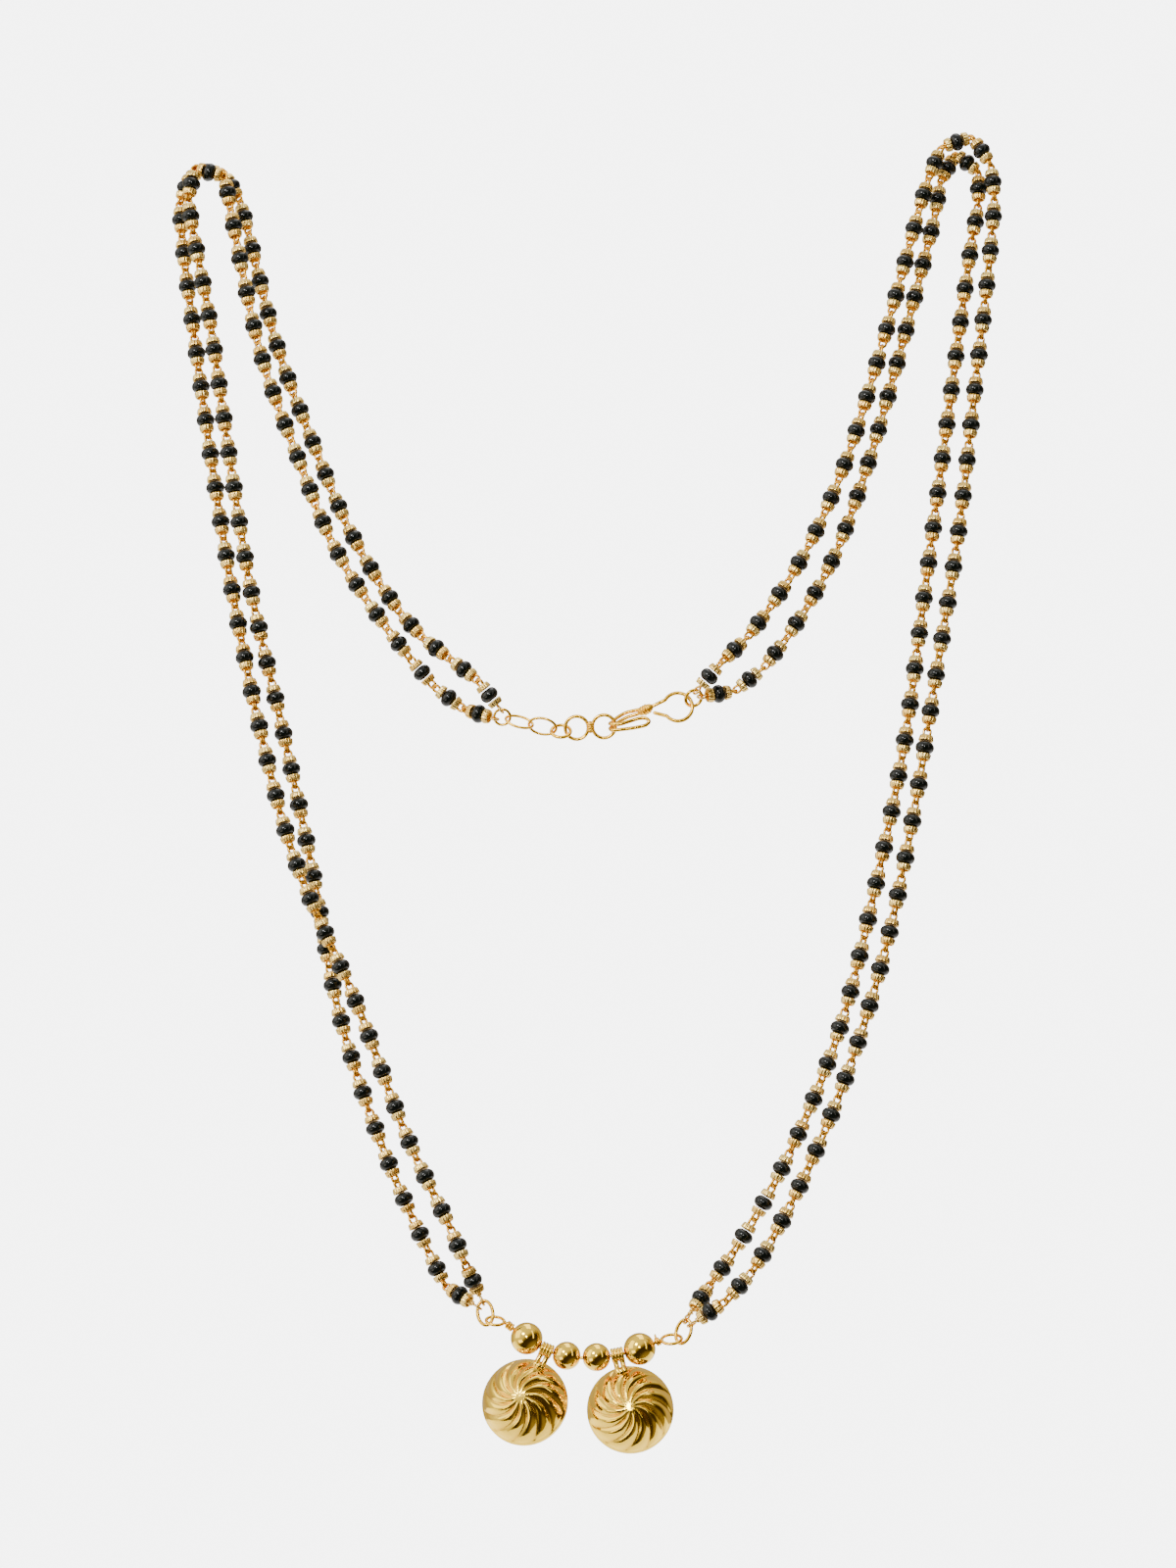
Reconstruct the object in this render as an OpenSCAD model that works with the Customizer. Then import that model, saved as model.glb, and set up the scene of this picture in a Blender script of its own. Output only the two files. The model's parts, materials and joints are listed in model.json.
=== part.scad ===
// Mangalsutra of two lines: four strands of black beads with ribbed gold caps, a sagging pendant wire
// with two fluted cups and four gold balls, and a hook and eye at the back of the neck. Millimetres.
// It hangs from two points. The origin is the left one, under the strands, +X runs to the right one, +Z is
// up, and the front of the cups faces -Y.

/* [Strands] */
// Beads on each of the four strands
strand_beads = 52; // [46:1:56]
// Outer diameter of a black bead
bead_d = 3; // [2.6:0.05:3.1]
// Length of a black bead along its bore
bead_len = 1.9; // [1.6:0.05:2.1]
// Bore of a black bead
bead_bore = 1.2; // [1.1:0.05:1.4]
// Outer diameter of a ribbed bead cap
cap_d = 2.25; // [1.8:0.05:2.5]
// Length of a ribbed bead cap
cap_len = 0.85; // [0.7:0.05:1.1]
// Thickness of the chain through a bead and between two caps
chain_d = 0.9; // [0.7:0.05:0.95]
// Width over the two wire loops that are hooked together between two beads
loop_d = 1.35; // [1.2:0.05:1.6]
// Wire of the small eye at each end of a strand
eye_wire = 0.38; // [0.3:0.02:0.42]
// Middle diameter of that eye
eye_d = 1.3; // [1.2:0.05:1.5]

/* [Pendant wire] */
// Diameter of the pendant wire
pendant_wire_d = 0.5; // [0.4:0.02:0.56]
// Radius of the left half of its sag
left_bend_r = 14.5; // [12:0.5:20]
// Radius of the right half of its sag
right_bend_r = 27; // [22:0.5:36]
// Middle diameter of the left end loop
left_loop_d = 2.7; // [2.5:0.1:3.2]
// Middle diameter of the right end loop
right_loop_d = 3; // [2.5:0.1:3.4]
// Wire of the turns wound round the stems
wrap_wire = 0.44; // [0.36:0.02:0.5]

/* [Gold balls] */
// Diameter of the two outer balls
outer_ball_d = 4.8; // [4:0.1:5]
// Diameter of the two inner balls
inner_ball_d = 4.2; // [3.6:0.1:4.4]
// Bore of the balls
ball_bore = 0.95; // [0.85:0.05:1.2]

/* [Fluted cups] */
// Outer diameter of a cup
cup_d = 13; // [11:0.1:13.4]
// Height of a cup from its open back to its crown
cup_h = 5; // [4:0.1:6]
// Thickness of the cup's sheet
cup_wall = 0.45; // [0.35:0.05:0.7]
// Flutes round a cup
flutes = 12; // [10:1:18]
// Depth of a flute
flute_depth = 0.45; // [0.2:0.05:0.5]
// Sweep of a flute from the crown to the rim, in degrees
flute_sweep = 55; // [40:5:80]
// Distance from the bail's bore down to the cup's middle
cup_drop = 8.2; // [8.1:0.1:9.5]
// Length of the bail
bail_len = 1.9; // [1.5:0.1:2.2]
// Outer diameter of the bail over its ribs
bail_d = 2.2; // [1.8:0.1:2.4]
// Bore of the bail
bail_bore = 0.62; // [0.6:0.02:0.8]

/* [Rings and clasp] */
// Wire of the jump rings at the pendant wire
jump_wire = 0.5; // [0.4:0.02:0.56]
// Middle length of those jump rings
jump_len = 3.7; // [3.5:0.1:4.4]
// Middle width of those jump rings
jump_width = 2.1; // [2:0.1:2.6]
// Wire of the clasp ring and the two clasp links
link_wire = 0.4; // [0.3:0.02:0.44]
// Middle diameter of the clasp ring
clasp_ring_d = 2.5; // [2.3:0.1:2.9]
// Middle length of a clasp link
clasp_link_len = 4.35; // [4:0.05:4.8]
// Middle width of a clasp link
clasp_link_width = 1.9; // [1.8:0.1:2.2]
// Middle diameter of the round link before the figure of eight
round_link_d = 3; // [2.8:0.1:3.4]
// Wire of the round link, the figure of eight and the hook ring
clasp_wire = 0.5; // [0.4:0.02:0.56]
// Middle diameter of each ring of the figure of eight
eight_ring_d = 3.6; // [3.5:0.1:4.2]
// Wire of the hook
hook_wire = 0.55; // [0.4:0.02:0.58]
// Length of the hook from its bend to the far side of its round end
hook_len = 13.2; // [12.8:0.1:14.5]
// Middle diameter of the hook ring
hook_ring_d = 2.7; // [2.5:0.1:3]

/* [Hidden] */

X = [1, 0, 0];
Y = [0, 1, 0];
Z = [0, 0, 1];

// Clearances: along a bore, between linked wires, at a jump ring's foot, in the hook's bend,
// and between ball and bail
bead_gap = 0.1;
link_gap = 0.24;
jump_gap = 0.28;
bend_gap = 0.3;
ball_gap = 0.1;

// Smoothness: steps between two route points, sides of the hook's wire, fineness of rounds
route_steps = 8;
wire_sides = 8;
round_fn = 48;
// Sides of the bead's section, which is rounded by short bevels
bead_sides = 12;

// Lowest point of the pendant wire, and how far round the sag each bail sits
sag = [61.1, 0, -189.95];
left_bail_turn = -23;
right_bail_turn = 10.6;
// Slope of the straight stem that runs from the middle of an outer ball to its end loop
left_stem_slope = 36.6;
right_stem_slope = 22;
left_stem = 1.8;
right_stem = 1.15;
left_turns = 3;
right_turns = 2;
// Slope of each end loop away from its stem, and their tilt, which shows them as ellipses
left_loop_slope = 6;
right_loop_slope = 5;
loop_tilt = 34;

// A point of the sag: turn is 0 at its lowest point, negative to the left
function bend_r(turn) = turn < 0 ? left_bend_r : right_bend_r;
function sag_point(turn) = sag + bend_r(turn) * [sin(turn), 0, 1 - cos(turn)];
function sag_dir(turn) = [cos(turn), 0, sin(turn)];
function turn_of(length, r) = length / r * 180 / PI;
// Middle of a straight bore of some length on the sag, shifted by half the wire's rise inside it
function seat(turn, length) = sag_point(turn) + length * length / 16 / bend_r(turn) * [-sin(turn), 0, cos(turn)];

bail_step = bail_len / 2 + ball_gap;
ball_turns = [
    left_bail_turn - turn_of(bail_step + outer_ball_d / 2, left_bend_r),
    left_bail_turn + turn_of(bail_step + inner_ball_d / 2, left_bend_r),
    right_bail_turn - turn_of(bail_step + inner_ball_d / 2, right_bend_r),
    right_bail_turn + turn_of(bail_step + outer_ball_d / 2, right_bend_r)];
ball_sizes = [outer_ball_d, inner_ball_d, inner_ball_d, outer_ball_d];

left_stem_dir = [-cos(left_stem_slope), 0, sin(left_stem_slope)];
right_stem_dir = [cos(right_stem_slope), 0, sin(right_stem_slope)];
left_stem_end = sag_point(ball_turns[0]) + (outer_ball_d / 2 + left_stem) * left_stem_dir;
right_stem_end = sag_point(ball_turns[3]) + (outer_ball_d / 2 + right_stem) * right_stem_dir;
left_loop_dir = [-cos(left_loop_slope), 0, sin(left_loop_slope)];
right_loop_dir = [cos(right_loop_slope), 0, sin(right_loop_slope)];
left_loop = left_stem_end + left_loop_d / 2 * left_loop_dir;
right_loop = right_stem_end + right_loop_d / 2 * right_loop_dir;

// A jump ring hangs from the far side of an end loop, whose wire lies just inside the ring's foot
jump_lap = (jump_wire + pendant_wire_d) / 2 + jump_gap;
left_jump_axis = unit([-0.15, 0, 0.99]);
right_jump_axis = unit([0.29, -0.09, 0.95]);
left_jump_side = turned(unit(cross(Y, left_jump_axis)), left_jump_axis, -8);
right_jump_side = turned(unit(cross(Y, right_jump_axis)), right_jump_axis, -22);
left_jump = left_loop + left_loop_d / 2 * left_loop_dir + (jump_len / 2 - jump_lap) * left_jump_axis;
right_jump = right_loop + right_loop_d / 2 * right_loop_dir + (jump_len / 2 - jump_lap) * right_jump_axis;

// A point on the round top of a jump ring, by its turn from the top towards the ring's side
function jump_point(centre, axis, side, turn) =
    centre + (jump_len - jump_width) / 2 * axis + jump_width / 2 * (cos(turn) * axis + sin(turn) * side);

// The clasp: each link laps the one before by its wire, along a gently sagging line. Neighbours lean
// opposite ways about that line, so that one crosses in front above and behind below.
clasp_ring_at = [48.25, 0, -90.15];
clasp_ring_lean = 28;
link_1_lean = -35;
link_2_lean = 35;
round_link_lean = -35;
eight_lean = 18;
// Gap between the two rings of the figure of eight at the waist, and length of the solder that fills it
waist_gap = 0.1;
solder_len = 1.3;
link_1_dir = unit([3.1, 0, -0.9]);
link_2_dir = unit([3.5, 0, -0.7]);
round_link_dir = unit([2.85, 0, -0.8]);
eight_dir = unit([2.65, 0, 0.6]);
waist_dir = unit([4, 0, 0.2]);
link_lap = link_wire + link_gap;
mixed_lap = (link_wire + clasp_wire) / 2 + link_gap;
clasp_lap = clasp_wire + link_gap;
link_1_at = clasp_ring_at + (clasp_ring_d / 2 + clasp_link_len / 2 - link_lap) * link_1_dir;
link_2_at = link_1_at + (clasp_link_len - link_lap) * link_2_dir;
round_link_at = link_2_at + (clasp_link_len / 2 + round_link_d / 2 - mixed_lap) * round_link_dir;
eight_left = round_link_at + (round_link_d / 2 + eight_ring_d / 2 - clasp_lap) * eight_dir;
eight_right = eight_left + (eight_ring_d + clasp_wire + waist_gap) * waist_dir;

// The hook is bent round the right rim of the figure of eight. Its round end is a share of its length.
hook_lap = (hook_wire + clasp_wire) / 2 + link_gap;
hook_at = eight_right + [eight_ring_d / 2 - (hook_wire + clasp_wire) / 2 - bend_gap, 0, 0];
hook_end_d = 0.345 * hook_len;
hook_end_at = hook_at + hook_len * [0.806, 0, 0.240];

// Bends of the doubled wire of the hook, as shares of its length: out, depth, height
hook_bends = [
    [0.400, 0.040, 0.232],
    [0.300, 0.052, 0.212],
    [0.190, 0.060, 0.186],
    [0.080, 0.062, 0.122],
    [0.030, 0.050, 0.070],
    [0.000, 0.000, 0.036],
    [0.026, -0.056, 0.012],
    [0.100, -0.072, 0.004],
    [0.250, -0.072, 0.050],
    [0.360, -0.072, 0.082],
    [0.430, -0.072, 0.078],
    [0.462, -0.072, 0.042],
    [0.430, -0.072, 0.000],
    [0.340, -0.072, -0.026],
    [0.200, -0.072, -0.050],
    [0.090, -0.072, -0.062],
    [0.030, -0.056, -0.062],
    [0.002, 0.000, -0.024],
    [0.030, 0.050, 0.008],
    [0.100, 0.062, 0.070],
    [0.200, 0.060, 0.128],
    [0.310, 0.052, 0.162],
    [0.410, 0.040, 0.190]];

// The neck, and the single wire from it round the end and back to its free tip
hook_neck = [[0.370, 0.044, 0.190], [0.470, 0.010, 0.236]];
hook_end_lead = [0.450, 0.016, 0.226];
hook_end_tail = [0.530, 0.000, 0.168];
hook_end_from = 150;
hook_end_to = -140;
hook_end_steps = 20;

// The hook ring hangs on the far side of the hook's round end
hook_ring_dir = unit([0.86, 0, 0.5]);
hook_ring_side = turned(unit([0.5, 0, -0.86]), hook_ring_dir, 44);
hook_ring_at = hook_end_at + (hook_end_d / 2 + hook_ring_d / 2 - hook_lap) * hook_ring_dir;

// A point of a round ring, by its turn from one direction in its plane towards another
function ring_point(centre, d, dir, side, turn) = centre + d / 2 * (cos(turn) * dir + sin(turn) * side);
function leant(lean) = turned(Z, X, lean);

// Where the eyes of the four strands hold on, at the pendant and at the clasp
pendant_eyes = [
    jump_point(left_jump, left_jump_axis, left_jump_side, -74),
    jump_point(left_jump, left_jump_axis, left_jump_side, -10),
    jump_point(right_jump, right_jump_axis, right_jump_side, -8),
    jump_point(right_jump, right_jump_axis, right_jump_side, 58)];
clasp_eyes = [
    ring_point(clasp_ring_at, clasp_ring_d, -X, leant(clasp_ring_lean), -12),
    ring_point(clasp_ring_at, clasp_ring_d, -X, leant(clasp_ring_lean), 78),
    ring_point(hook_ring_at, hook_ring_d, hook_ring_dir, hook_ring_side, 20),
    ring_point(hook_ring_at, hook_ring_d, hook_ring_dir, hook_ring_side, -45)];
// Extra length of the first link of each strand at the pendant
pendant_leads = [1.1, 0.7, 1.4, 0.5];
// Directions across the planes of the rings that those eyes hold
pendant_eye_normals = [
    cross(left_jump_axis, left_jump_side), cross(left_jump_axis, left_jump_side),
    cross(right_jump_axis, right_jump_side), cross(right_jump_axis, right_jump_side)];
clasp_eye_normals = [
    cross(X, leant(clasp_ring_lean)), cross(X, leant(clasp_ring_lean)),
    cross(hook_ring_dir, hook_ring_side), cross(hook_ring_dir, hook_ring_side)];

// Routes of the strands from the pendant over a hanging point to the clasp, without their two eyes:
// left inner, left outer, right inner, right outer
strand_routes = [
    [[41.6, 2.2, -181], [38.7, 2.5, -176], [31, 1.6, -159.5], [23.5, 1.6, -137.5], [19, 1.8, -115],
        [14, 1.2, -92.5], [8.5, -0.4, -69.5], [4.5, -1.2, -46.5], [1, -1.6, -24.5], [-1.5, -1.7, -12],
        [-3, -1.7, -4], [-2.6, -1.7, 1.5], [0, -1.7, 2.6], [2.6, -1.7, 0.8], [3.8, -1.7, -5],
        [5.8, -1.6, -15], [9.5, -1.2, -31], [15.5, -1, -47.5], [21.8, -0.9, -63], [31.5, -0.1, -77.7],
        [39.4, 1.9, -86.5], [44.2, 1.8, -89.3]],
    [[43.9, -2.1, -178], [42, -2.4, -173], [34.5, -1.5, -157.5], [26, -1.6, -135.5],
        [16.5, -1.8, -114], [10.5, -1.2, -92.5], [5.5, 0.4, -69.5], [1.5, 1.2, -47], [-2, 1.6, -24.5],
        [-4.2, 1.7, -9], [-4.6, 1.7, -1], [-3, 1.7, 2.8], [0, 1.7, 3.8], [3.4, 1.7, 1.6],
        [5.5, 1.7, -4], [8, 1.6, -14], [12, 1.2, -29], [18, 1, -45], [24.5, 0.9, -60.5],
        [34, 0.1, -75.5], [42.3, -1.9, -83], [46.2, -1.8, -86.4]],
    [[78.9, 1.8, -180.4], [82.6, 2.5, -175.4], [91, 1.4, -161.5], [100, 1, -140.5], [106, 1, -118],
        [111, 1, -95], [114.5, 1, -72], [118, 1, -48.5], [121.5, 1.1, -25], [124, 1.2, -9],
        [125.5, 1.2, 0], [124.5, 1.2, 5], [122, 1.2, 6], [119.8, 1.2, 3.5], [118.3, 1.2, -4],
        [115.3, 1.1, -16], [111, 1, -32], [106, 0.9, -49], [100, 0.8, -65], [91.5, 1, -79],
        [86.2, 1.9, -84.6], [82.2, 1.8, -86.2]],
    [[79.4, -1.9, -183.7], [84, -2.5, -180.3], [91, -1.4, -169.5], [100, -1, -150], [107, -1, -129],
        [112, -1, -107], [116.2, -1, -83.5], [120.3, -1, -60], [123.5, -1, -36], [126.5, -1.2, -13],
        [127.5, -1.2, -1], [126, -1.2, 6], [122.6, -1.2, 8.2], [119.2, -1.2, 6], [116.2, -1.2, -2],
        [112.3, -1.1, -16], [107.5, -1, -33], [102, -0.9, -50], [95, -0.8, -65.2], [87.8, -1, -76],
        [84.2, -1.9, -80.5], [80.6, -1.9, -83.4]]];

// Sections of a cup from crown to rim, as shares: radius, height, flute depth
cup_sections = [
    [0.10, 0.995, 0.00],
    [0.24, 0.975, 0.60],
    [0.42, 0.910, 1.00],
    [0.58, 0.805, 1.00],
    [0.72, 0.665, 1.00],
    [0.84, 0.500, 1.00],
    [0.92, 0.335, 0.80],
    [0.96, 0.215, 0.15],
    [1.00, 0.120, 0.00],
    [1.00, 0.000, 0.00]];
flute_steps = 10;
// How far each cup leans out from its bail, and how far the left one is turned to the left
left_lean = 2.5;
right_lean = 3;
left_yaw = 10;
// Depth of the cups' open back behind the bail, at which they balance below it
cup_back = 2.4;
post_d = 0.9;
post_step = 0.5;
solder_d = 1.3;

function unit(v) = v / norm(v);
// v turned about a unit axis at right angles to it
function turned(v, axis, a) = cos(a) * v + sin(a) * cross(axis, v);

// Centripetal Catmull-Rom curve through a list of points
function knot_step(a, b) = sqrt(norm(b - a));
function mix(a, b, ta, tb, u) = ((tb - u) * a + (u - ta) * b) / (tb - ta);
function curve_point(p0, p1, p2, p3, t) =
    let (
        t1 = knot_step(p0, p1),
        t2 = t1 + knot_step(p1, p2),
        t3 = t2 + knot_step(p2, p3),
        u = t1 + (t2 - t1) * t,
        a1 = mix(p0, p1, 0, t1, u),
        a2 = mix(p1, p2, t1, t2, u),
        a3 = mix(p2, p3, t2, t3, u),
        b1 = mix(a1, a2, 0, t2, u),
        b2 = mix(a2, a3, t1, t3, u)
    ) mix(b1, b2, t1, t2, u);
function curve(points, steps) =
    let (
        last = len(points) - 1,
        padded = concat([2 * points[0] - points[1]], points, [2 * points[last] - points[last - 1]])
    )
    concat(
        [for (i = [0:last - 1], j = [0:steps - 1])
            curve_point(padded[i], padded[i + 1], padded[i + 2], padded[i + 3], j / steps)],
        [points[last]]);

// Points at equal distances along a curve, the first one longer by a lead
function distances(points) =
    [for (i = 0, s = 0; i < len(points); i = i + 1, s = s + (i < len(points) ? norm(points[i] - points[i - 1]) : 0)) s];
function even_points(points, count, lead) =
    let (
        s = distances(points),
        xs = [for (i = [0:len(points) - 1]) [s[i], points[i].x]],
        ys = [for (i = [0:len(points) - 1]) [s[i], points[i].y]],
        zs = [for (i = [0:len(points) - 1]) [s[i], points[i].z]],
        step = (s[len(s) - 1] - lead) / count
    )
    [for (i = [0:count])
        let (at = i == 0 ? 0 : lead + i * step) [lookup(at, xs), lookup(at, ys), lookup(at, zs)]];

// Joints of a strand: the eye at the pendant, the link between each two beads, the eye at the clasp
function strand_joints(k) =
    even_points(curve(concat([pendant_eyes[k]], strand_routes[k], [clasp_eyes[k]]), route_steps), strand_beads,
        pendant_leads[k]);
function bead_middle(joints, i) =
    i > 0 ? (joints[i] + joints[i + 1]) / 2
        : joints[1] - norm(joints[2] - joints[1]) / 2 * unit(joints[1] - joints[0]);

// Moves children so that their Z runs from one point towards another
module along(from, to) {
    d = to - from;
    translate(from)
        rotate([0, acos(d.z / norm(d)), atan2(d.y, d.x)])
            children();
}

// Moves children so that their X and Y lie along two directions at right angles
module placed(at, x, y) {
    z = cross(x, y);
    multmatrix([[x.x, y.x, z.x, at.x], [x.y, y.y, z.y, at.y], [x.z, y.z, z.z, at.z]])
        children();
}

module torus(d, wire) {
    rotate_extrude($fn = round_fn)
        translate([d / 2, 0])
            circle(d = wire, $fn = round_fn / 2);
}

// Ring of a tube: across a direction, with its first point towards a side
function ring_around(at, dir, side, r, sides) =
    let (s = unit(side - (side * dir) * dir), c = cross(dir, s))
    [for (j = [0:sides - 1]) at + r * (cos(360 * j / sides) * s + sin(360 * j / sides) * c)];
function tube_faces(rings, sides) =
    concat(
        [for (i = [0:rings - 2], j = [0:sides - 1])
            let (a = i * sides, b = a + sides, n = (j + 1) % sides)
            [b + j, b + n, a + n, a + j]],
        [[for (j = [0:sides - 1]) j], [for (j = [sides - 1:-1:0]) (rings - 1) * sides + j]]);

// Smooth wire through points
module bent_wire(points, side, wire, sides) {
    n = len(points);
    rings = [for (i = [0:n - 1]) each ring_around(points[i],
        unit(points[min(i + 1, n - 1)] - points[max(i - 1, 0)]), side, wire / 2, sides)];
    polyhedron(rings, tube_faces(n, sides), convexity = 6);
}

// Black glass beads of a strand, each drilled for the chain
module bead() {
    color("#14181a")
        rotate_extrude($fn = round_fn)
            intersection() {
                translate([bead_d / 2 - bead_len / 2, 0])
                    circle(d = bead_len, $fn = bead_sides);
                translate([bead_bore / 2, -bead_len])
                    square([bead_d, 2 * bead_len]);
            }
}

module strand_of_beads(k) {
    joints = strand_joints(k);
    for (i = [0:strand_beads - 1])
        along(bead_middle(joints, i), joints[i + 1])
            bead();
}

// Gold chain of a strand: a stem through each bead, the hooked loops between two beads, the two caps of
// each bead, and an eye at each end
module strand_chain(k) {
    joints = strand_joints(k);
    n = strand_beads;
    first_dir = unit(joints[1] - joints[0]);
    last_dir = unit(joints[n - 1] - joints[n]);
    path = [for (i = [0:n]) i == 0 ? joints[0] + eye_d / 2 * first_dir
        : i == n ? joints[n] + eye_d / 2 * last_dir : joints[i]];
    color("#d9a441") {
        for (i = [0:n - 1]) {
            from = i == 0 ? 0 : chain_d / 4;
            to = norm(path[i + 1] - path[i]) - (i == n - 1 ? 0 : chain_d / 4);
            along(path[i], path[i + 1])
                translate([0, 0, from])
                    cylinder(h = to - from, d = chain_d, $fn = round_fn);
        }
        // The spheres' seams lie apart from those of the stems
        for (i = [1:n - 1])
            along(joints[i], joints[i + 1])
                rotate([0, 0, 45])
                    sphere(d = loop_d, $fn = round_fn);
        for (i = [0:n - 1], side = [0, 1])
            along(bead_middle(joints, i), joints[i + side])
                translate([0, 0, bead_len / 2 + bead_gap])
                    cylinder(h = cap_len, d = cap_d, $fn = round_fn);
        strand_eye(joints[0], first_dir, pendant_eye_normals[k]);
        strand_eye(joints[n], last_dir, clasp_eye_normals[k]);
    }
}

// Eye at the end of a strand: it stands across the wire that it holds
module strand_eye(at, dir, normal) {
    across = unit(normal - (normal * dir) * dir);
    placed(at, dir, across)
        torus(eye_d, eye_wire);
}

// Pendant wire: two arcs of sag, a wound stem and a loop at each end
module sag_arc(turn_a, turn_b) {
    r = bend_r(turn_a + turn_b);
    translate(sag + [0, 0, r])
        rotate([90, 0, 0])
            rotate([0, 0, turn_a - 90])
                rotate_extrude(angle = turn_b - turn_a, $fn = 4 * round_fn)
                    translate([r, 0])
                        circle(d = pendant_wire_d, $fn = round_fn / 2);
}

module stem(from, to, turns) {
    span = norm(to - from);
    first = outer_ball_d / 2 + ball_gap + wrap_wire / 2;
    pitch = 0.94 * wrap_wire;
    neck = first + (turns - 0.5) * pitch;
    wound_d = pendant_wire_d + 0.86 * wrap_wire;
    along(from, to) {
        cylinder(h = span, d = pendant_wire_d, $fn = round_fn / 2);
        translate([0, 0, first])
            cylinder(h = (turns - 1) * pitch, d = wound_d, $fn = round_fn / 2);
        for (i = [0:turns - 1])
            translate([0, 0, first + i * pitch])
                torus(wound_d, wrap_wire);
        translate([0, 0, neck])
            cylinder(h = span - neck, d = 1.25 * pendant_wire_d, $fn = round_fn / 2);
    }
}

// The back of an end loop stands higher than its front
module end_loop(at, dir, d) {
    across = cos(loop_tilt) * Y + sin(loop_tilt) * cross(dir, Y) * sign(dir.x);
    placed(at, dir, across)
        torus(d, pendant_wire_d);
}

module pendant_wire() {
    color("#d9a441") {
        sag_arc(ball_turns[0], 0);
        sag_arc(0, ball_turns[3]);
        stem(sag_point(ball_turns[0]), left_stem_end, left_turns);
        stem(sag_point(ball_turns[3]), right_stem_end, right_turns);
        end_loop(left_loop, left_loop_dir, left_loop_d);
        end_loop(right_loop, right_loop_dir, right_loop_d);
        for (turn = [ball_turns[0], 0, ball_turns[3]])
            translate(sag_point(turn))
                sphere(d = 1.1 * pendant_wire_d, $fn = round_fn / 2);
    }
}

// Gold ball, drilled along the pendant wire, with the bore of an outer ball shared between the
// directions of the sag and the stem
module gold_ball(i) {
    turn = ball_turns[i];
    at = seat(turn, ball_sizes[i] * (i == 1 || i == 2 ? 1 : 0.7));
    bore = i == 0 ? sag_dir(turn) - left_stem_dir : i == 3 ? sag_dir(turn) + right_stem_dir : sag_dir(turn);
    color("#e0b04a")
        along(at, at + bore)
            difference() {
                sphere(d = ball_sizes[i], $fn = round_fn);
                cylinder(h = 2 * ball_sizes[i], d = ball_bore, center = true, $fn = round_fn);
            }
}

// Fluted cup: a thin dome with swirling flutes, open at the back
function groove(share, a) = 1 - abs(sin(flutes / 2 * (a + flute_sweep * pow(share, 1.4))));
function cup_point(section, a, inset) =
    let (
        r = section[0] * (cup_d / 2 - inset),
        h = section[1] * (cup_h - inset) - flute_depth * section[2] * groove(section[0], a)
    )
    [r * cos(a), cup_back - h, r * sin(a)];
function cup_ring(section, inset) =
    [for (j = [0:flutes * flute_steps - 1]) cup_point(section, 360 * j / (flutes * flute_steps), inset)];

module cup_shell() {
    around = flutes * flute_steps;
    rows = len(cup_sections);
    outer = [for (s = cup_sections) each cup_ring(s, 0)];
    inner = [for (i = [rows - 1:-1:0]) each cup_ring(cup_sections[i], cup_wall)];
    points = concat(outer, inner, [[0, cup_back - cup_h, 0], [0, cup_back - cup_h + cup_wall, 0]]);
    crown = 2 * rows * around;
    faces = concat(
        [for (i = [0:2 * rows - 2], j = [0:around - 1], half = [0, 1])
            let (a = i * around, b = a + around, n = (j + 1) % around)
            half == 0 ? [a + j, a + n, b + n] : [a + j, b + n, b + j]],
        [for (j = [0:around - 1]) [crown, (j + 1) % around, j]],
        [for (j = [0:around - 1]) let (a = (2 * rows - 1) * around) [crown + 1, a + j, a + (j + 1) % around]]);
    polyhedron(points, faces, convexity = 6);
}

// Bail: a ribbed tube that turns on the pendant wire, on two posts soldered to the cup
module bail() {
    rib = bail_len / 4;
    rotate([0, 90, 0]) {
        cylinder(h = bail_len, d = bail_d - 0.8 * rib, center = true, $fn = round_fn);
        for (i = [0:3])
            translate([0, 0, rib * (i - 1.5)])
                torus(bail_d - 0.96 * rib, 0.96 * rib);
    }
}

module cup(turn, lean, yaw) {
    solder = cup_drop - 0.86 * cup_d / 2;
    color("#d9a441")
        translate(seat(turn, bail_len))
            rotate([0, -turn, 0])
                difference() {
                    union() {
                        rotate([0, -lean, 0]) {
                            translate([0, 0, -cup_drop])
                                rotate([0, 0, yaw])
                                    cup_shell();
                            for (side = [-1, 1])
                                translate([side * post_step, 0, -solder])
                                    cylinder(h = solder - bail_d / 4, d = post_d, $fn = round_fn);
                            translate([0, 0, -solder])
                                sphere(d = solder_d, $fn = round_fn);
                        }
                        bail();
                    }
                    rotate([0, 90, 0])
                        cylinder(h = 2 * bail_len, d = bail_bore, center = true, $fn = round_fn);
                }
}

// Oval ring: two half rings joined by straight sides. Its length runs along axis.
module oval_ring(at, axis, side, ring_len, ring_width, wire) {
    straight = ring_len - ring_width;
    color("#d9a441")
        placed(at, side, axis)
            for (end = [0, 180])
                rotate([0, 0, end]) {
                    translate([0, straight / 2, 0])
                        rotate_extrude(angle = 180, $fn = round_fn)
                            translate([ring_width / 2, 0])
                                circle(d = wire, $fn = round_fn / 2);
                    translate([ring_width / 2, straight / 2, 0])
                        rotate([90, 0, 0])
                            cylinder(h = straight, d = wire, $fn = round_fn / 2);
                }
}

module clasp_link(at, dir, lean) {
    oval_ring(at, dir, turned(cross(dir, Y), dir, lean), clasp_link_len, clasp_link_width, link_wire);
}

module round_ring(at, dir, side, d, wire) {
    color("#d9a441")
        placed(at, dir, side)
            torus(d, wire);
}

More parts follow.
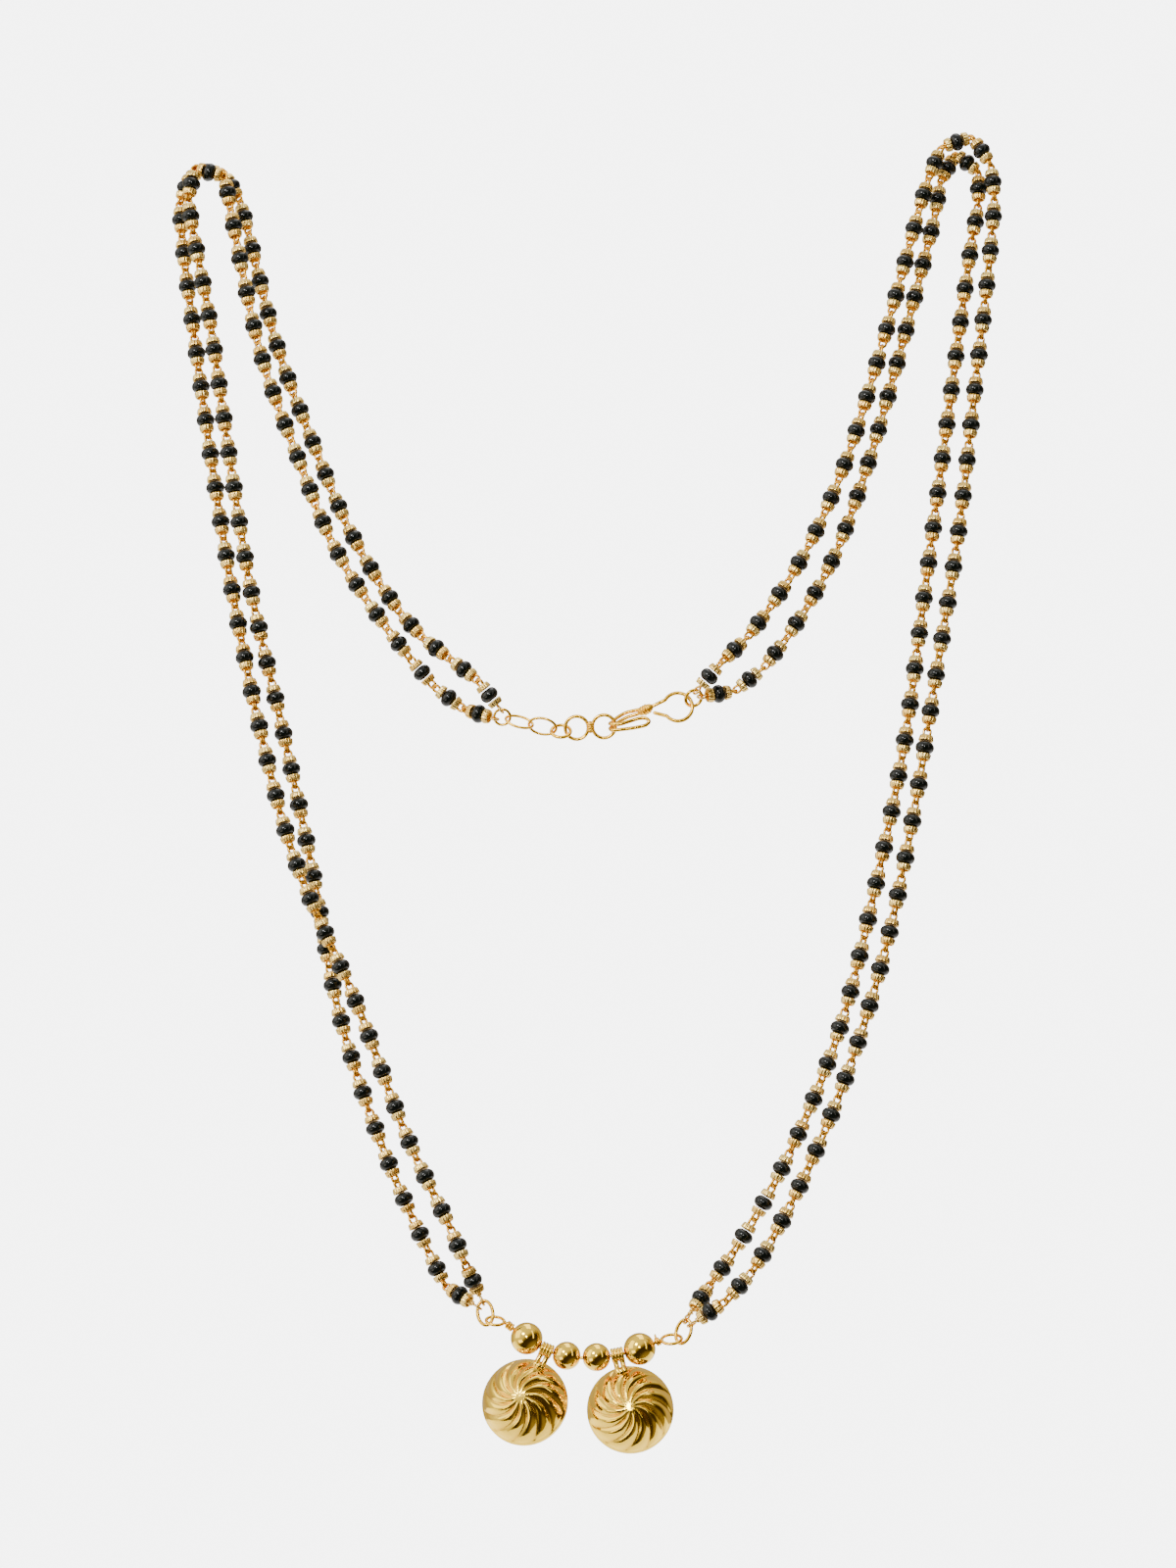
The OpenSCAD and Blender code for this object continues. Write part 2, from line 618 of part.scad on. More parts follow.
// Figure of eight: two rings joined by solder at the waist
module figure_eight() {
    side = leant(eight_lean);
    waist = (eight_left + eight_right) / 2;
    color("#d9a441") {
        for (at = [eight_left, eight_right])
            placed(at, X, side)
                torus(eight_ring_d, clasp_wire);
        along(waist - solder_len / 2 * side, waist + solder_len / 2 * side)
            cylinder(h = solder_len, d = 2.1 * clasp_wire, $fn = round_fn);
    }
}

// Hook: a doubled wire folded into a hook, a wound neck, and one wire bent into a round end
module clasp_hook() {
    doubled = [for (p = curve(hook_bends, 2)) hook_at + hook_len * p];
    neck = [for (p = hook_neck) hook_at + hook_len * p];
    turns = [for (i = [0:hook_end_steps]) hook_end_from + (hook_end_to - hook_end_from) * i / hook_end_steps];
    round_end = concat(
        [hook_at + hook_len * hook_end_lead],
        [for (a = turns) hook_end_at + hook_end_d / 2 * [cos(a), 0, sin(a)]],
        [hook_at + hook_len * hook_end_tail]);
    color("#d9a441") {
        bent_wire(doubled, Z, hook_wire, wire_sides);
        bent_wire(round_end, Y, hook_wire, wire_sides);
        along(neck[0], neck[1])
            cylinder(h = norm(neck[1] - neck[0]), d = 2.9 * hook_wire, $fn = round_fn);
    }
}

strand_of_beads(0);  // beads_left_inner
strand_of_beads(1);  // beads_left_outer
strand_of_beads(2);  // beads_right_inner
strand_of_beads(3);  // beads_right_outer
strand_chain(0);  // chain_left_inner
strand_chain(1);  // chain_left_outer
strand_chain(2);  // chain_right_inner
strand_chain(3);  // chain_right_outer
pendant_wire();
gold_ball(0);  // gold_ball_1
gold_ball(1);  // gold_ball_2
gold_ball(2);  // gold_ball_3
gold_ball(3);  // gold_ball_4
cup(left_bail_turn, -left_lean, -left_yaw);  // cup_left
cup(right_bail_turn, right_lean, 0);  // cup_right
oval_ring(left_jump, left_jump_axis, left_jump_side, jump_len, jump_width, jump_wire);  // jump_ring_left
oval_ring(right_jump, right_jump_axis, right_jump_side, jump_len, jump_width, jump_wire);  // jump_ring_right
round_ring(clasp_ring_at, X, leant(clasp_ring_lean), clasp_ring_d, link_wire);  // clasp_ring
clasp_link(link_1_at, link_1_dir, link_1_lean);  // clasp_link_1
clasp_link(link_2_at, link_2_dir, link_2_lean);  // clasp_link_2
round_ring(round_link_at, X, leant(round_link_lean), round_link_d, clasp_wire);  // round_link
figure_eight();
clasp_hook();
round_ring(hook_ring_at, hook_ring_dir, hook_ring_side, hook_ring_d, clasp_wire);  // hook_ring
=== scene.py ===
"""Mangalsutra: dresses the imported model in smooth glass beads, ribbed bead caps, hooked wire loops,
polished gold balls and fluted cups, and sets up the camera, the lights and the pale floor."""
import json
import math
from types import SimpleNamespace

import bpy
import numpy as np
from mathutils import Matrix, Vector


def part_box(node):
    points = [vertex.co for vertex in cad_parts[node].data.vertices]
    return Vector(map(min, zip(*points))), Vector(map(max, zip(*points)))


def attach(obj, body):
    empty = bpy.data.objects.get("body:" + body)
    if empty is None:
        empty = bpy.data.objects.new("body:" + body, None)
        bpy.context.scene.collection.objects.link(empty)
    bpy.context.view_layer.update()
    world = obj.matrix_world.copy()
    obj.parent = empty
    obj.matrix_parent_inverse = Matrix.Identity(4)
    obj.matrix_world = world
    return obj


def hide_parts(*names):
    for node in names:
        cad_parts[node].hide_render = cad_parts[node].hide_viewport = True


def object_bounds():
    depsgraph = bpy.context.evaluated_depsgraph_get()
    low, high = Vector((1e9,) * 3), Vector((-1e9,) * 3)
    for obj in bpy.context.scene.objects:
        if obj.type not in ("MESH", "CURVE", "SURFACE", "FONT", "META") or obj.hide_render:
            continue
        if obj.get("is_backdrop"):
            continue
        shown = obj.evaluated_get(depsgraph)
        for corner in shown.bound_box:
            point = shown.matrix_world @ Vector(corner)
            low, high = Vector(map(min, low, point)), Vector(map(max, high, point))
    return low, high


bl_info = {
    "name": "Mangalsutra",
    "version": (1, 0, 0),
    "blender": (4, 5, 0),
    "location": "3D View > Sidebar > Mangalsutra",
    "description": "Adds the visible pieces of a mangalsutra to its packed model",
    "category": "Object",
}

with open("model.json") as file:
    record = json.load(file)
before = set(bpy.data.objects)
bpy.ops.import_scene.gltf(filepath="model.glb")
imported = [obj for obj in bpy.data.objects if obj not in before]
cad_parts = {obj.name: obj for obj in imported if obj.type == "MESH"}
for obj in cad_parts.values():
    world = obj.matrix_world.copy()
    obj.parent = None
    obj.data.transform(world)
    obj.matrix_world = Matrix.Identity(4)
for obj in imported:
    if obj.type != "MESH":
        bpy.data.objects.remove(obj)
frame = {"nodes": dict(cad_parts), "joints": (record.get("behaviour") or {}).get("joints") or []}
CAD_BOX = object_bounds()

MM = 0.001
STRANDS = ("left_inner", "left_outer", "right_inner", "right_outer")
ROUND_RINGS = ("clasp_ring", "round_link", "hook_ring")
# Oval rings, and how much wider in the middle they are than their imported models
OVAL_RINGS = {"jump_ring_left": 1.1, "jump_ring_right": 1.1, "clasp_link_1": 1.35, "clasp_link_2": 1.38}
ROUND_STEPS, OVAL_STEPS = 52, 60
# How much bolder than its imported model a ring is, with the thick plate on its wire
RING_BOLD = 1.1
X, Y, Z = np.eye(3)


def size(name, description, default, low, high):
    """A length that a user may change, given in millimetres and kept in metres."""
    return bpy.props.FloatProperty(
        name=name, description=description, default=default * MM, min=low * MM, max=high * MM,
        precision=5, subtype="DISTANCE",
    )


def power(name, description, default):
    """The power of a light in watts."""
    return bpy.props.FloatProperty(
        name=name, description=description, default=default, min=0, subtype="POWER"
    )


def in_mm(settings):
    """The values of a group of settings, with its lengths in millimetres."""
    values = {}
    for key, kind in settings.bl_rna.properties.items():
        value = getattr(settings, key)
        is_length = kind.type == "FLOAT" and kind.unit == "LENGTH"
        values[key] = round(value / MM, 4) if is_length else value
    return SimpleNamespace(**values)


def tint(name, description, default):
    """A colour as an sRGB hex value."""
    return bpy.props.StringProperty(name=name, description=description, default=default, maxlen=7)


class StrandSettings(bpy.types.PropertyGroup):
    """Beads, caps and loops of the four strands."""

    bead_d: size("Bead diameter", "Outer diameter of a black bead", 3.0, 2.6, 3.1)
    bead_len: size("Bead length", "Length of a black bead along its bore", 1.9, 1.6, 2.1)
    bead_bore: size("Bead bore", "Bore of a black bead", 1.2, 1.1, 1.4)
    bead_gap: size("Bead gap", "Clearance between a bead and its caps", 0.1, 0.05, 0.2)
    cap_d: size("Cap diameter", "Outer diameter of a ribbed cap", 2.4, 1.8, 2.5)
    cap_len: size("Cap length", "Length of a ribbed cap", 0.95, 0.7, 1.1)
    rib_depth: size("Rib depth", "Depth of the creases between two ribs of a cap", 0.15, 0.05, 0.3)
    loop_wire: size("Loop wire", "Wire of the hooked loops between two beads", 0.46, 0.2, 0.48)
    loop_width: size("Loop width", "Middle width of a hooked loop", 1.16, 0.7, 1.2)
    eye_wire: size("Eye wire", "Wire of the eye at each end of a strand", 0.38, 0.3, 0.42)
    eye_d: size("Eye diameter", "Middle diameter of the eye at each end of a strand", 1.3, 1.2, 1.5)
    ribs: bpy.props.IntProperty(name="Ribs", description="Ribs round a bead cap", default=15, min=10, max=18)


class PendantSettings(bpy.types.PropertyGroup):
    """Sagging wire, balls and fluted cups."""

    wire_d: size("Wire diameter", "Diameter of the sagging wire", 0.5, 0.4, 0.56)
    wrap_wire: size("Wrapped wire", "Wire of the turns wound round the stems", 0.44, 0.36, 0.5)
    left_bend_r: size("Left bend", "Radius of the left half of the sag", 14.5, 12, 20)
    right_bend_r: size("Right bend", "Radius of the right half of the sag", 27.0, 22, 36)
    left_loop_d: size("Left loop", "Middle diameter of the left end loop", 2.7, 2.5, 3.2)
    right_loop_d: size("Right loop", "Middle diameter of the right end loop", 3.0, 2.5, 3.4)
    outer_ball_d: size("Outer balls", "Diameter of the two outer balls", 4.8, 4, 5)
    inner_ball_d: size("Inner balls", "Diameter of the two inner balls", 4.2, 3.6, 4.4)
    ball_bore: size("Ball bore", "Bore of the balls", 0.95, 0.85, 1.2)
    cup_d: size("Cup diameter", "Outer diameter of a fluted cup", 13.0, 11, 13.4)
    cup_h: size("Cup height", "Height of a cup from its open back to its crown", 5.0, 4, 6)
    cup_wall: size("Cup wall", "Thickness of the cup's sheet", 0.45, 0.35, 0.7)
    flute_depth: size("Flute depth", "Depth of the creases between two flutes", 0.5, 0.2, 0.6)
    cup_drop: size("Cup drop", "Distance from the bail's bore to the cup's middle", 8.2, 8.1, 9.5)
    bail_len: size("Bail length", "Length of the ribbed bail", 1.9, 1.5, 2.2)
    bail_d: size("Bail diameter", "Outer diameter of the bail over its ribs", 2.2, 1.8, 2.4)
    bail_bore: size("Bail bore", "Bore of the bail", 0.62, 0.6, 0.8)
    flutes: bpy.props.IntProperty(name="Flutes", description="Flutes round a cup", default=12, min=10, max=18)
    flute_sweep: bpy.props.FloatProperty(
        name="Flute sweep", description="Sweep of a flute from crown to rim",
        default=math.radians(55), subtype="ANGLE",
    )


class ClaspSettings(bpy.types.PropertyGroup):
    """Wires of the figure of eight and of the hook."""

    hook_wire: size("Hook wire", "Wire of the hook", 0.6, 0.4, 0.62)
    hook_len: size("Hook length", "Length of the hook from its bend to its round end", 13.2, 12.8, 14.5)
    eight_ring_d: size("Eye diameter", "Middle diameter of each ring of the figure of eight", 3.6, 3.5, 4.2)
    clasp_wire: size("Eye wire", "Wire of the figure of eight", 0.56, 0.4, 0.58)


class FinishSettings(bpy.types.PropertyGroup):
    """Colours of the finishes, as sRGB hex values."""

    gold: tint("Gold", "Polished gold plate", "#FFD64C")
    # Painted shade in creases, bores and recesses, partly the duller gold where polish doesn't reach
    gold_hollow_shade: tint("Gold in hollows", "Gold in creases and hollows, where polish doesn't reach", "#DCA838")
    gold_deep: tint("Deeper gold", "Redder gold of the wire loops and of some caps", "#EFAE30")
    wire_gold: tint("Wire gold", "Warmer gold plate of rings and wires", "#FFC83C")
    cap_gold: tint("Cap gold", "Pale gold plate of the bead caps", "#FFE48C")
    glass: tint("Glass", "Black glass of the beads", "#070B09")
    floor: tint("Floor", "Pale floor", "#F2F1EE")


class StageSettings(bpy.types.PropertyGroup):
    """Camera, lights and floor, in metres, watts and degrees."""

    camera_at: bpy.props.FloatVectorProperty(
        name="Camera", description="Place of the camera",
        default=(0.061668, -0.579555, -0.256288), size=3, subtype="TRANSLATION",
    )
    camera_pitch: bpy.props.FloatProperty(
        name="Pitch", description="Angle at which the camera looks up",
        default=math.radians(15), subtype="ANGLE",
    )
    camera_lens: bpy.props.FloatProperty(
        name="Lens", description="Focal length in millimetres on a frame 24 mm high", default=58.98
    )
    floor_z: bpy.props.FloatProperty(
        name="Floor height", description="Height of the floor", default=-0.40, subtype="DISTANCE"
    )
    key_power: power("Key light", "Power of the small softbox", 2.0)
    broad_power: power("Broad light", "Power of the left wall", 1.5)
    strip_power: power("Strip light", "Power of the right strip", 0.4)
    top_power: power("Top light", "Power of the top softbox", 1.4)
    low_power: power("Low light", "Power of the low softbox", 0.4)
    front_power: power("Front light", "Power of the softbox over the camera", 0.8)
    floor_power: power("Floor light", "Power of the wash over the floor", 16.0)


# Vectors, frames and meshes, all in millimetres until an object is made


def unit(v):
    v = np.asarray(v, float)
    return v / np.linalg.norm(v)


def turned(v, axis, degrees):
    """v turned about a unit axis at right angles to it."""
    a = math.radians(degrees)
    return math.cos(a) * v + math.sin(a) * np.cross(axis, v)


def spun(angle):
    """Turn about the third axis by an angle in radians."""
    c, s = math.cos(angle), math.sin(angle)
    return np.array([[c, -s, 0], [s, c, 0], [0, 0, 1]])


def basis(axis, side=None):
    """Columns side, other, axis: a right-handed frame whose Z is the axis."""
    axis = unit(axis)
    if side is None:
        side = np.cross(Y, axis) if abs(axis @ Y) < 0.9 else np.cross(X, axis)
    side = unit(side - (side @ axis) * axis)
    return np.column_stack([side, np.cross(axis, side), axis])


class Shape:
    """Collects closed shells into the vertices, faces and shading values of one mesh: painted shade in
    creases and recesses, partly duller gold, and a shift to deeper gold.
    """

    def __init__(self):
        self.points, self.quads, self.tris, self.hollows, self.shifts = [], [], [], [], []
        self.count = 0

    def add(self, points, quads=(), tris=(), unpolished_and_shade=None, shift=0.0):
        points = np.asarray(points, float).reshape(-1, 3)
        self.points.append(points)
        if len(quads):
            self.quads.append(np.asarray(quads).reshape(-1, 4) + self.count)
        if len(tris):
            self.tris.append(np.asarray(tris).reshape(-1, 3) + self.count)
        self.hollows.append(np.zeros(len(points)) if unpolished_and_shade is None else np.asarray(unpolished_and_shade, float).ravel())
        self.shifts.append(np.broadcast_to(shift, len(points)).astype(float))
        self.count += len(points)

    def add_placed(self, template, places, frames, scales=None, shifts=None):
        """Adds a copy of a template at every place, turned by its frame."""
        points, quads, tris, unpolished_and_shade = template
        scales = np.ones((len(places), 3)) if scales is None else scales
        shifts = np.zeros(len(places)) if shifts is None else shifts
        placed = np.einsum("mij,mnj->mni", frames, points[None] * scales[:, None]) + places[:, None]
        steps = (np.arange(len(places)) * len(points))[:, None, None]
        self.add(
            placed,
            (np.asarray(quads)[None] + steps) if len(quads) else (),
            (np.asarray(tris)[None] + steps) if len(tris) else (),
            np.tile(unpolished_and_shade, len(places)),
            np.repeat(shifts, len(points)),
        )

    def build(self, name, material, body, *nodes, slot="gold_tone"):
        """Makes the object, which rides on a body and stands for its CAD nodes."""
        points = np.concatenate(self.points) * MM
        quads = np.concatenate(self.quads) if self.quads else np.zeros((0, 4), int)
        tris = np.concatenate(self.tris) if self.tris else np.zeros((0, 3), int)
        mesh = bpy.data.meshes.new(name)
        mesh.vertices.add(len(points))
        mesh.vertices.foreach_set("co", points.ravel())
        mesh.loops.add(quads.size + tris.size)
        mesh.loops.foreach_set("vertex_index", np.concatenate([quads.ravel(), tris.ravel()]).astype(np.int32))
        mesh.polygons.add(len(quads) + len(tris))
        starts = np.concatenate([np.arange(len(quads)) * 4, quads.size + np.arange(len(tris)) * 3])
        mesh.polygons.foreach_set("loop_start", starts.astype(np.int32))
        mesh.update(calc_edges=True)
        for label, values in (("unpolished_and_shade", self.hollows), ("shift", self.shifts)):
            layer = mesh.attributes.new(label, "FLOAT", "POINT")
            layer.data.foreach_set("value", np.concatenate(values).astype(np.float32))
        if mesh.validate():
            raise RuntimeError(name + " has broken faces")
        mesh.shade_smooth()
        mesh.materials.append(material)
        piece = bpy.data.objects.new(name, mesh)
        bpy.context.scene.collection.objects.link(piece)
        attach(piece, body)
        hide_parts(*nodes)
        return piece


def strip(rows, around, closed_rows=False, wrapped=True):
    """Quads between rows of points round a form."""
    i = np.arange(rows if closed_rows else rows - 1)[:, None]
    j = np.arange(around if wrapped else around - 1)[None]
    a, b = i * around, ((i + 1) % rows) * around
    n = (j + 1) % around
    return np.stack([a + j, a + n, b + n, b + j], -1).reshape(-1, 4)


def capped(rows, first, last):
    """Rings of points in rows, closed by a fan of triangles to a point at each end."""
    count, around = rows.shape[:2]
    j = np.arange(around)
    n = (j + 1) % around
    end = (count - 1) * around
    fans = np.concatenate([
        np.stack([np.full(around, end + around), n, j], -1),
        np.stack([np.full(around, end + around + 1), end + j, end + n], -1)])
    return np.concatenate([rows.reshape(-1, 3), [first, last]]), strip(count, around), fans


def revolved(profile, around, waves=None, unpolished_and_shade=None):
    """Closed profile of (radius, height) turned about Z; waves scales the radius by row and angle."""
    profile = np.asarray(profile, float)
    angle = 2 * math.pi * np.arange(around) / around
    radius = profile[:, 0][:, None] * (np.ones((len(profile), around)) if waves is None else waves)
    heights = np.repeat(profile[:, 1][:, None], around, 1)
    points = np.stack([radius * np.cos(angle), radius * np.sin(angle), heights], -1)
    shade = np.zeros(len(profile)) if unpolished_and_shade is None else np.asarray(unpolished_and_shade, float)
    if shade.ndim == 1:
        shade = np.repeat(shade[:, None], around, 1)
    return points.reshape(-1, 3), strip(len(profile), around, closed_rows=True), (), shade.ravel()


def tube(path, wire, sides=12, closed=False, first=None, unpolished_and_shade=0.0):
    """Wire of one thickness, or of a list of them, along a path, with rounded caps at open ends."""
    path = np.asarray(path, float)
    wires = np.full(len(path), wire, float) if np.isscalar(wire) else np.asarray(wire, float)
    if not closed:
        ahead, back = unit(path[-1] - path[-2]), unit(path[0] - path[1])
        # Rings that round off an open end, as shares of the wire's radius
        lift = np.array([0.55, 0.85, 0.98])
        path = np.concatenate([path[:1] + back * wires[0] / 2 * s for s in lift[::-1]] + [path]
                              + [path[-1:] + ahead * wires[-1] / 2 * s for s in lift])
        thin = np.sqrt(1 - lift ** 2)
        wires = np.concatenate([wires[0] * thin[::-1], wires, wires[-1] * thin])
        tangents = np.gradient(path, axis=0)
    else:
        tangents = np.roll(path, -1, 0) - np.roll(path, 1, 0)
    tangents /= np.linalg.norm(tangents, axis=1)[:, None]
    side = basis(tangents[0], first)[:, 0]
    sides_dirs = []
    for t in tangents:
        side = unit(side - (side @ t) * t)
        sides_dirs.append(side)
    u = np.array(sides_dirs)
    if closed:
        # The frame is untwisted so that the last ring meets the first one
        end = unit(u[-1] - (u[-1] @ tangents[0]) * tangents[0])
        twist = math.atan2(np.cross(u[0], end) @ tangents[0], u[0] @ end)
        spin = -twist * np.arange(len(path)) / len(path)
        u = u * np.cos(spin)[:, None] + np.cross(tangents, u) * np.sin(spin)[:, None]
    v = np.cross(tangents, u)
    angle = 2 * math.pi * np.arange(sides) / sides
    ring = np.cos(angle)[None, :, None] * u[:, None] + np.sin(angle)[None, :, None] * v[:, None]
    points = path[:, None] + ring * (wires / 2)[:, None, None]
    if closed:
        points, quads, tris = points.reshape(-1, 3), strip(len(path), sides, closed_rows=True), ()
    else:
        points, quads, tris = capped(points, path[0], path[-1])
    return points, quads, tris, np.full(len(points), unpolished_and_shade)


def rounded(points, per_span):
    """Centripetal Catmull-Rom curve through points."""
    points = np.asarray(points, float)
    p = np.concatenate([[2 * points[0] - points[1]], points, [2 * points[-1] - points[-2]]])
    out = []
    for i in range(len(points) - 1):
        p0, p1, p2, p3 = p[i:i + 4]
        t1 = math.sqrt(np.linalg.norm(p1 - p0))
        t2 = t1 + math.sqrt(np.linalg.norm(p2 - p1))
        t3 = t2 + math.sqrt(np.linalg.norm(p3 - p2))
        for s in np.arange(per_span) / per_span:
            t = t1 + (t2 - t1) * s
            a1 = (t1 - t) / t1 * p0 + t / t1 * p1
            a2 = (t2 - t) / (t2 - t1) * p1 + (t - t1) / (t2 - t1) * p2
            a3 = (t3 - t) / (t3 - t2) * p2 + (t - t2) / (t3 - t2) * p3
            b1 = (t2 - t) / t2 * a1 + t / t2 * a2
            b2 = (t3 - t) / (t3 - t1) * a2 + (t - t1) / (t3 - t1) * a3
            out.append((t2 - t) / (t2 - t1) * b1 + (t - t1) / (t2 - t1) * b2)
    return np.array(out + [points[-1]])


def helix(across, depth, start, stop, turns, count):
    """Points of a coil about Z, from its half widths, its two ends, its turns and how many points."""
    angle = np.linspace(0, 2 * math.pi * turns, count)
    heights = np.linspace(start, stop, count)
    return np.column_stack([across * np.cos(angle), depth * np.sin(angle), heights])


def moved(template, place, columns):
    """A template turned by a frame and set at a place."""
    points, quads, tris, unpolished_and_shade = template
    return points @ np.asarray(columns).T + np.asarray(place), quads, tris, unpolished_and_shade


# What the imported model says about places


def cad_points(node):
    """A node's points in millimetres, each place once, and the number of each of its vertices."""
    mesh = frame["nodes"][node].data
    flat = np.empty(len(mesh.vertices) * 3)
    mesh.vertices.foreach_get("co", flat)
    points = flat.reshape(-1, 3) / MM
    keys, inverse = np.unique(np.round(points, 3), axis=0, return_inverse=True)
    return keys, inverse.ravel()


def cad_islands(node):
    """The loose solids of a node, as lists of points."""
    points, inverse = cad_points(node)
    mesh = frame["nodes"][node].data
    edges = np.empty(len(mesh.edges) * 2, np.int32)
    mesh.edges.foreach_get("vertices", edges)
    edges = inverse[edges].reshape(-1, 2)
    label = np.arange(len(points))
    while True:
        low = np.minimum(label[edges[:, 0]], label[edges[:, 1]])
        new = label.copy()
        np.minimum.at(new, edges[:, 0], low)
        np.minimum.at(new, edges[:, 1], low)
        new = new[new]
        if (new == label).all():
            break
        label = new
    return [points[label == k] for k in np.unique(label)]


def cad_middle(node):
    """Middle of a node's box in millimetres."""
    low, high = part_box(node)
    return (np.array(low) + np.array(high)) / 2 / MM


def main_axes(points):
    """Middle of the extents, directions from longest to shortest spread, and those extents."""
    axes = np.linalg.eigh(np.cov((points - points.mean(0)).T))[1][:, ::-1].T
    along = points @ axes.T
    low, high = along.min(0), along.max(0)
    return (low + high) / 2 @ axes, axes, high - low


def strand_beads(name):
    """Middles and directions of a strand's beads, in order from the pendant."""
    beads = [main_axes(p) for p in cad_islands("beads_" + name)]
    middles = np.array([b[0] for b in beads])
    dirs = np.array([b[1][2] for b in beads])
    order = [int(middles[:, 2].argmin())]
    left = set(range(len(beads))) - set(order)
    while left:
        here = middles[order[-1]]
        nearest = min(left, key=lambda k: np.linalg.norm(middles[k] - here))
        order.append(nearest)
        left.remove(nearest)
    middles, dirs = middles[order], dirs[order]
    ahead = np.gradient(middles, axis=0)
    dirs *= np.sign((dirs * ahead).sum(1))[:, None]
    return middles, dirs


def meeting(a, da, b, db):
    """Where two lines come nearest."""
    across = np.cross(da, db)
    if np.linalg.norm(across) < 0.06:
        return (a + b) / 2
    s, t, _ = np.linalg.solve(np.column_stack([da, -db, across]), b - a)
    return (a + s * da + b + t * db) / 2


def strand_eye(name, middle, out, reach):
    """Middle of the eye beyond a bead, and the direction across its plane; reach is its outer radius."""
    points = cad_points("chain_" + name)[0]
    near = points[np.linalg.norm(points - middle, axis=1) < 8]
    near = near[(near - middle) @ out > 2.2]
    far = ((near - middle) @ out).max()
    round_part = near[(near - middle) @ out > far - reach]
    normal = np.linalg.eigh(np.cov((round_part - round_part.mean(0)).T))[1][:, 0]
    return middle + (far - reach) * out, unit(normal - (normal @ out) * out)


# Materials


# Sizes of patterns in millimetres; rub marks are drawn coarser than real ones, so that they show
WEAR_PATCH, RUB_MARK, GLASS_FLOW, BOARD_GRAIN = 2.5, 0.125, 1.25, 16.7


def linear(code):
    """sRGB hex value to a linear colour."""
    parts = [int(code[i:i + 2], 16) / 255 for i in (1, 3, 5)]
    return [c / 12.92 if c <= 0.04045 else ((c + 0.055) / 1.055) ** 2.4 for c in parts] + [1.0]


def add_node(material, kind, links=(), **settings):
    """Adds a node with its settings and the links into it; links holds (input, node, output)."""
    node = material.node_tree.nodes.new(kind)
    for key, value in settings.items():
        if key.startswith("in_"):
            socket = key[3:].replace("_", " ")
            node.inputs[int(socket) if socket.isdigit() else socket].default_value = value
        else:
            setattr(node, key, value)
    for target, source, output in links:
        material.node_tree.links.new(source.outputs[output], node.inputs[target])
    return node


def add_noise(material, place, cell, detail):
    """A noise whose cells are that many millimetres wide."""
    return add_node(
        material, "ShaderNodeTexNoise", [("Vector", place, "Object")],
        in_Scale=1 / (cell * MM), in_Detail=detail,
    )


def bare_material(name):
    """A material whose nodes are still to come."""
    material = bpy.data.materials.new(name)
    material.use_nodes = True
    material.node_tree.nodes.clear()
    return material


def gold_plate(name, colour, deep_colour, hollow_shade_colour, rough, ripple_mm, ripple, scratch):
    """22 carat gold plate over brass, tumbled and polished. The eye gets pale highlights on crests, deep
    orange in creases and hollows, which is painted shade and partly duller gold where the polish misses, a
    slow ripple of the hand-worked sheet, and fine rub marks."""
    material = bare_material(name)
    place = add_node(material, "ShaderNodeTexCoord")
    unpolished_and_shade = add_node(material, "ShaderNodeAttribute", attribute_name="unpolished_and_shade")
    shift = add_node(material, "ShaderNodeAttribute", attribute_name="shift")
    # Clouded wear, rub marks and the ripple of the worked metal
    wear = add_noise(material, place, WEAR_PATCH, 3.0)
    marks = add_noise(material, place, RUB_MARK, 2.0)
    waves = add_noise(material, place, ripple_mm, 1.0)
    # Painted shade: creases, bores and recesses turn to the deeper hollow colour, partly as duller gold
    edge = add_node(material, "ShaderNodeMapRange", [("Value", unpolished_and_shade, "Fac")], in_1=0.05, in_2=1.0)
    tone = add_node(
        material, "ShaderNodeMix", [(0, shift, "Fac")], data_type="RGBA",
        in_6=linear(colour), in_7=linear(deep_colour),
    )
    colour_mix = add_node(
        material, "ShaderNodeMix", [(0, edge, "Result"), (6, tone, 2)], data_type="RGBA",
        in_7=linear(hollow_shade_colour),
    )
    cloud = add_node(
        material, "ShaderNodeMapRange", [("Value", wear, "Fac")],
        in_1=0.3, in_2=0.7, in_3=rough * 0.7, in_4=rough * 1.35,
    )
    dull = add_node(
        material, "ShaderNodeMath", [(0, edge, "Result"), (2, cloud, "Result")],
        operation="MULTIPLY_ADD", in_1=0.16,
    )
    bump_waves = add_node(
        material, "ShaderNodeBump", [("Height", waves, "Fac")], in_Strength=ripple, in_Distance=0.0004
    )
    bump = add_node(
        material, "ShaderNodeBump", [("Height", marks, "Fac"), ("Normal", bump_waves, "Normal")],
        in_Strength=scratch, in_Distance=0.00002,
    )
    shader = add_node(
        material, "ShaderNodeBsdfPrincipled",
        [("Base Color", colour_mix, 2), ("Roughness", dull, "Value"), ("Normal", bump, "Normal")],
        in_Metallic=1.0,
    )
    add_node(material, "ShaderNodeOutputMaterial", [("Surface", shader, "BSDF")])
    return material


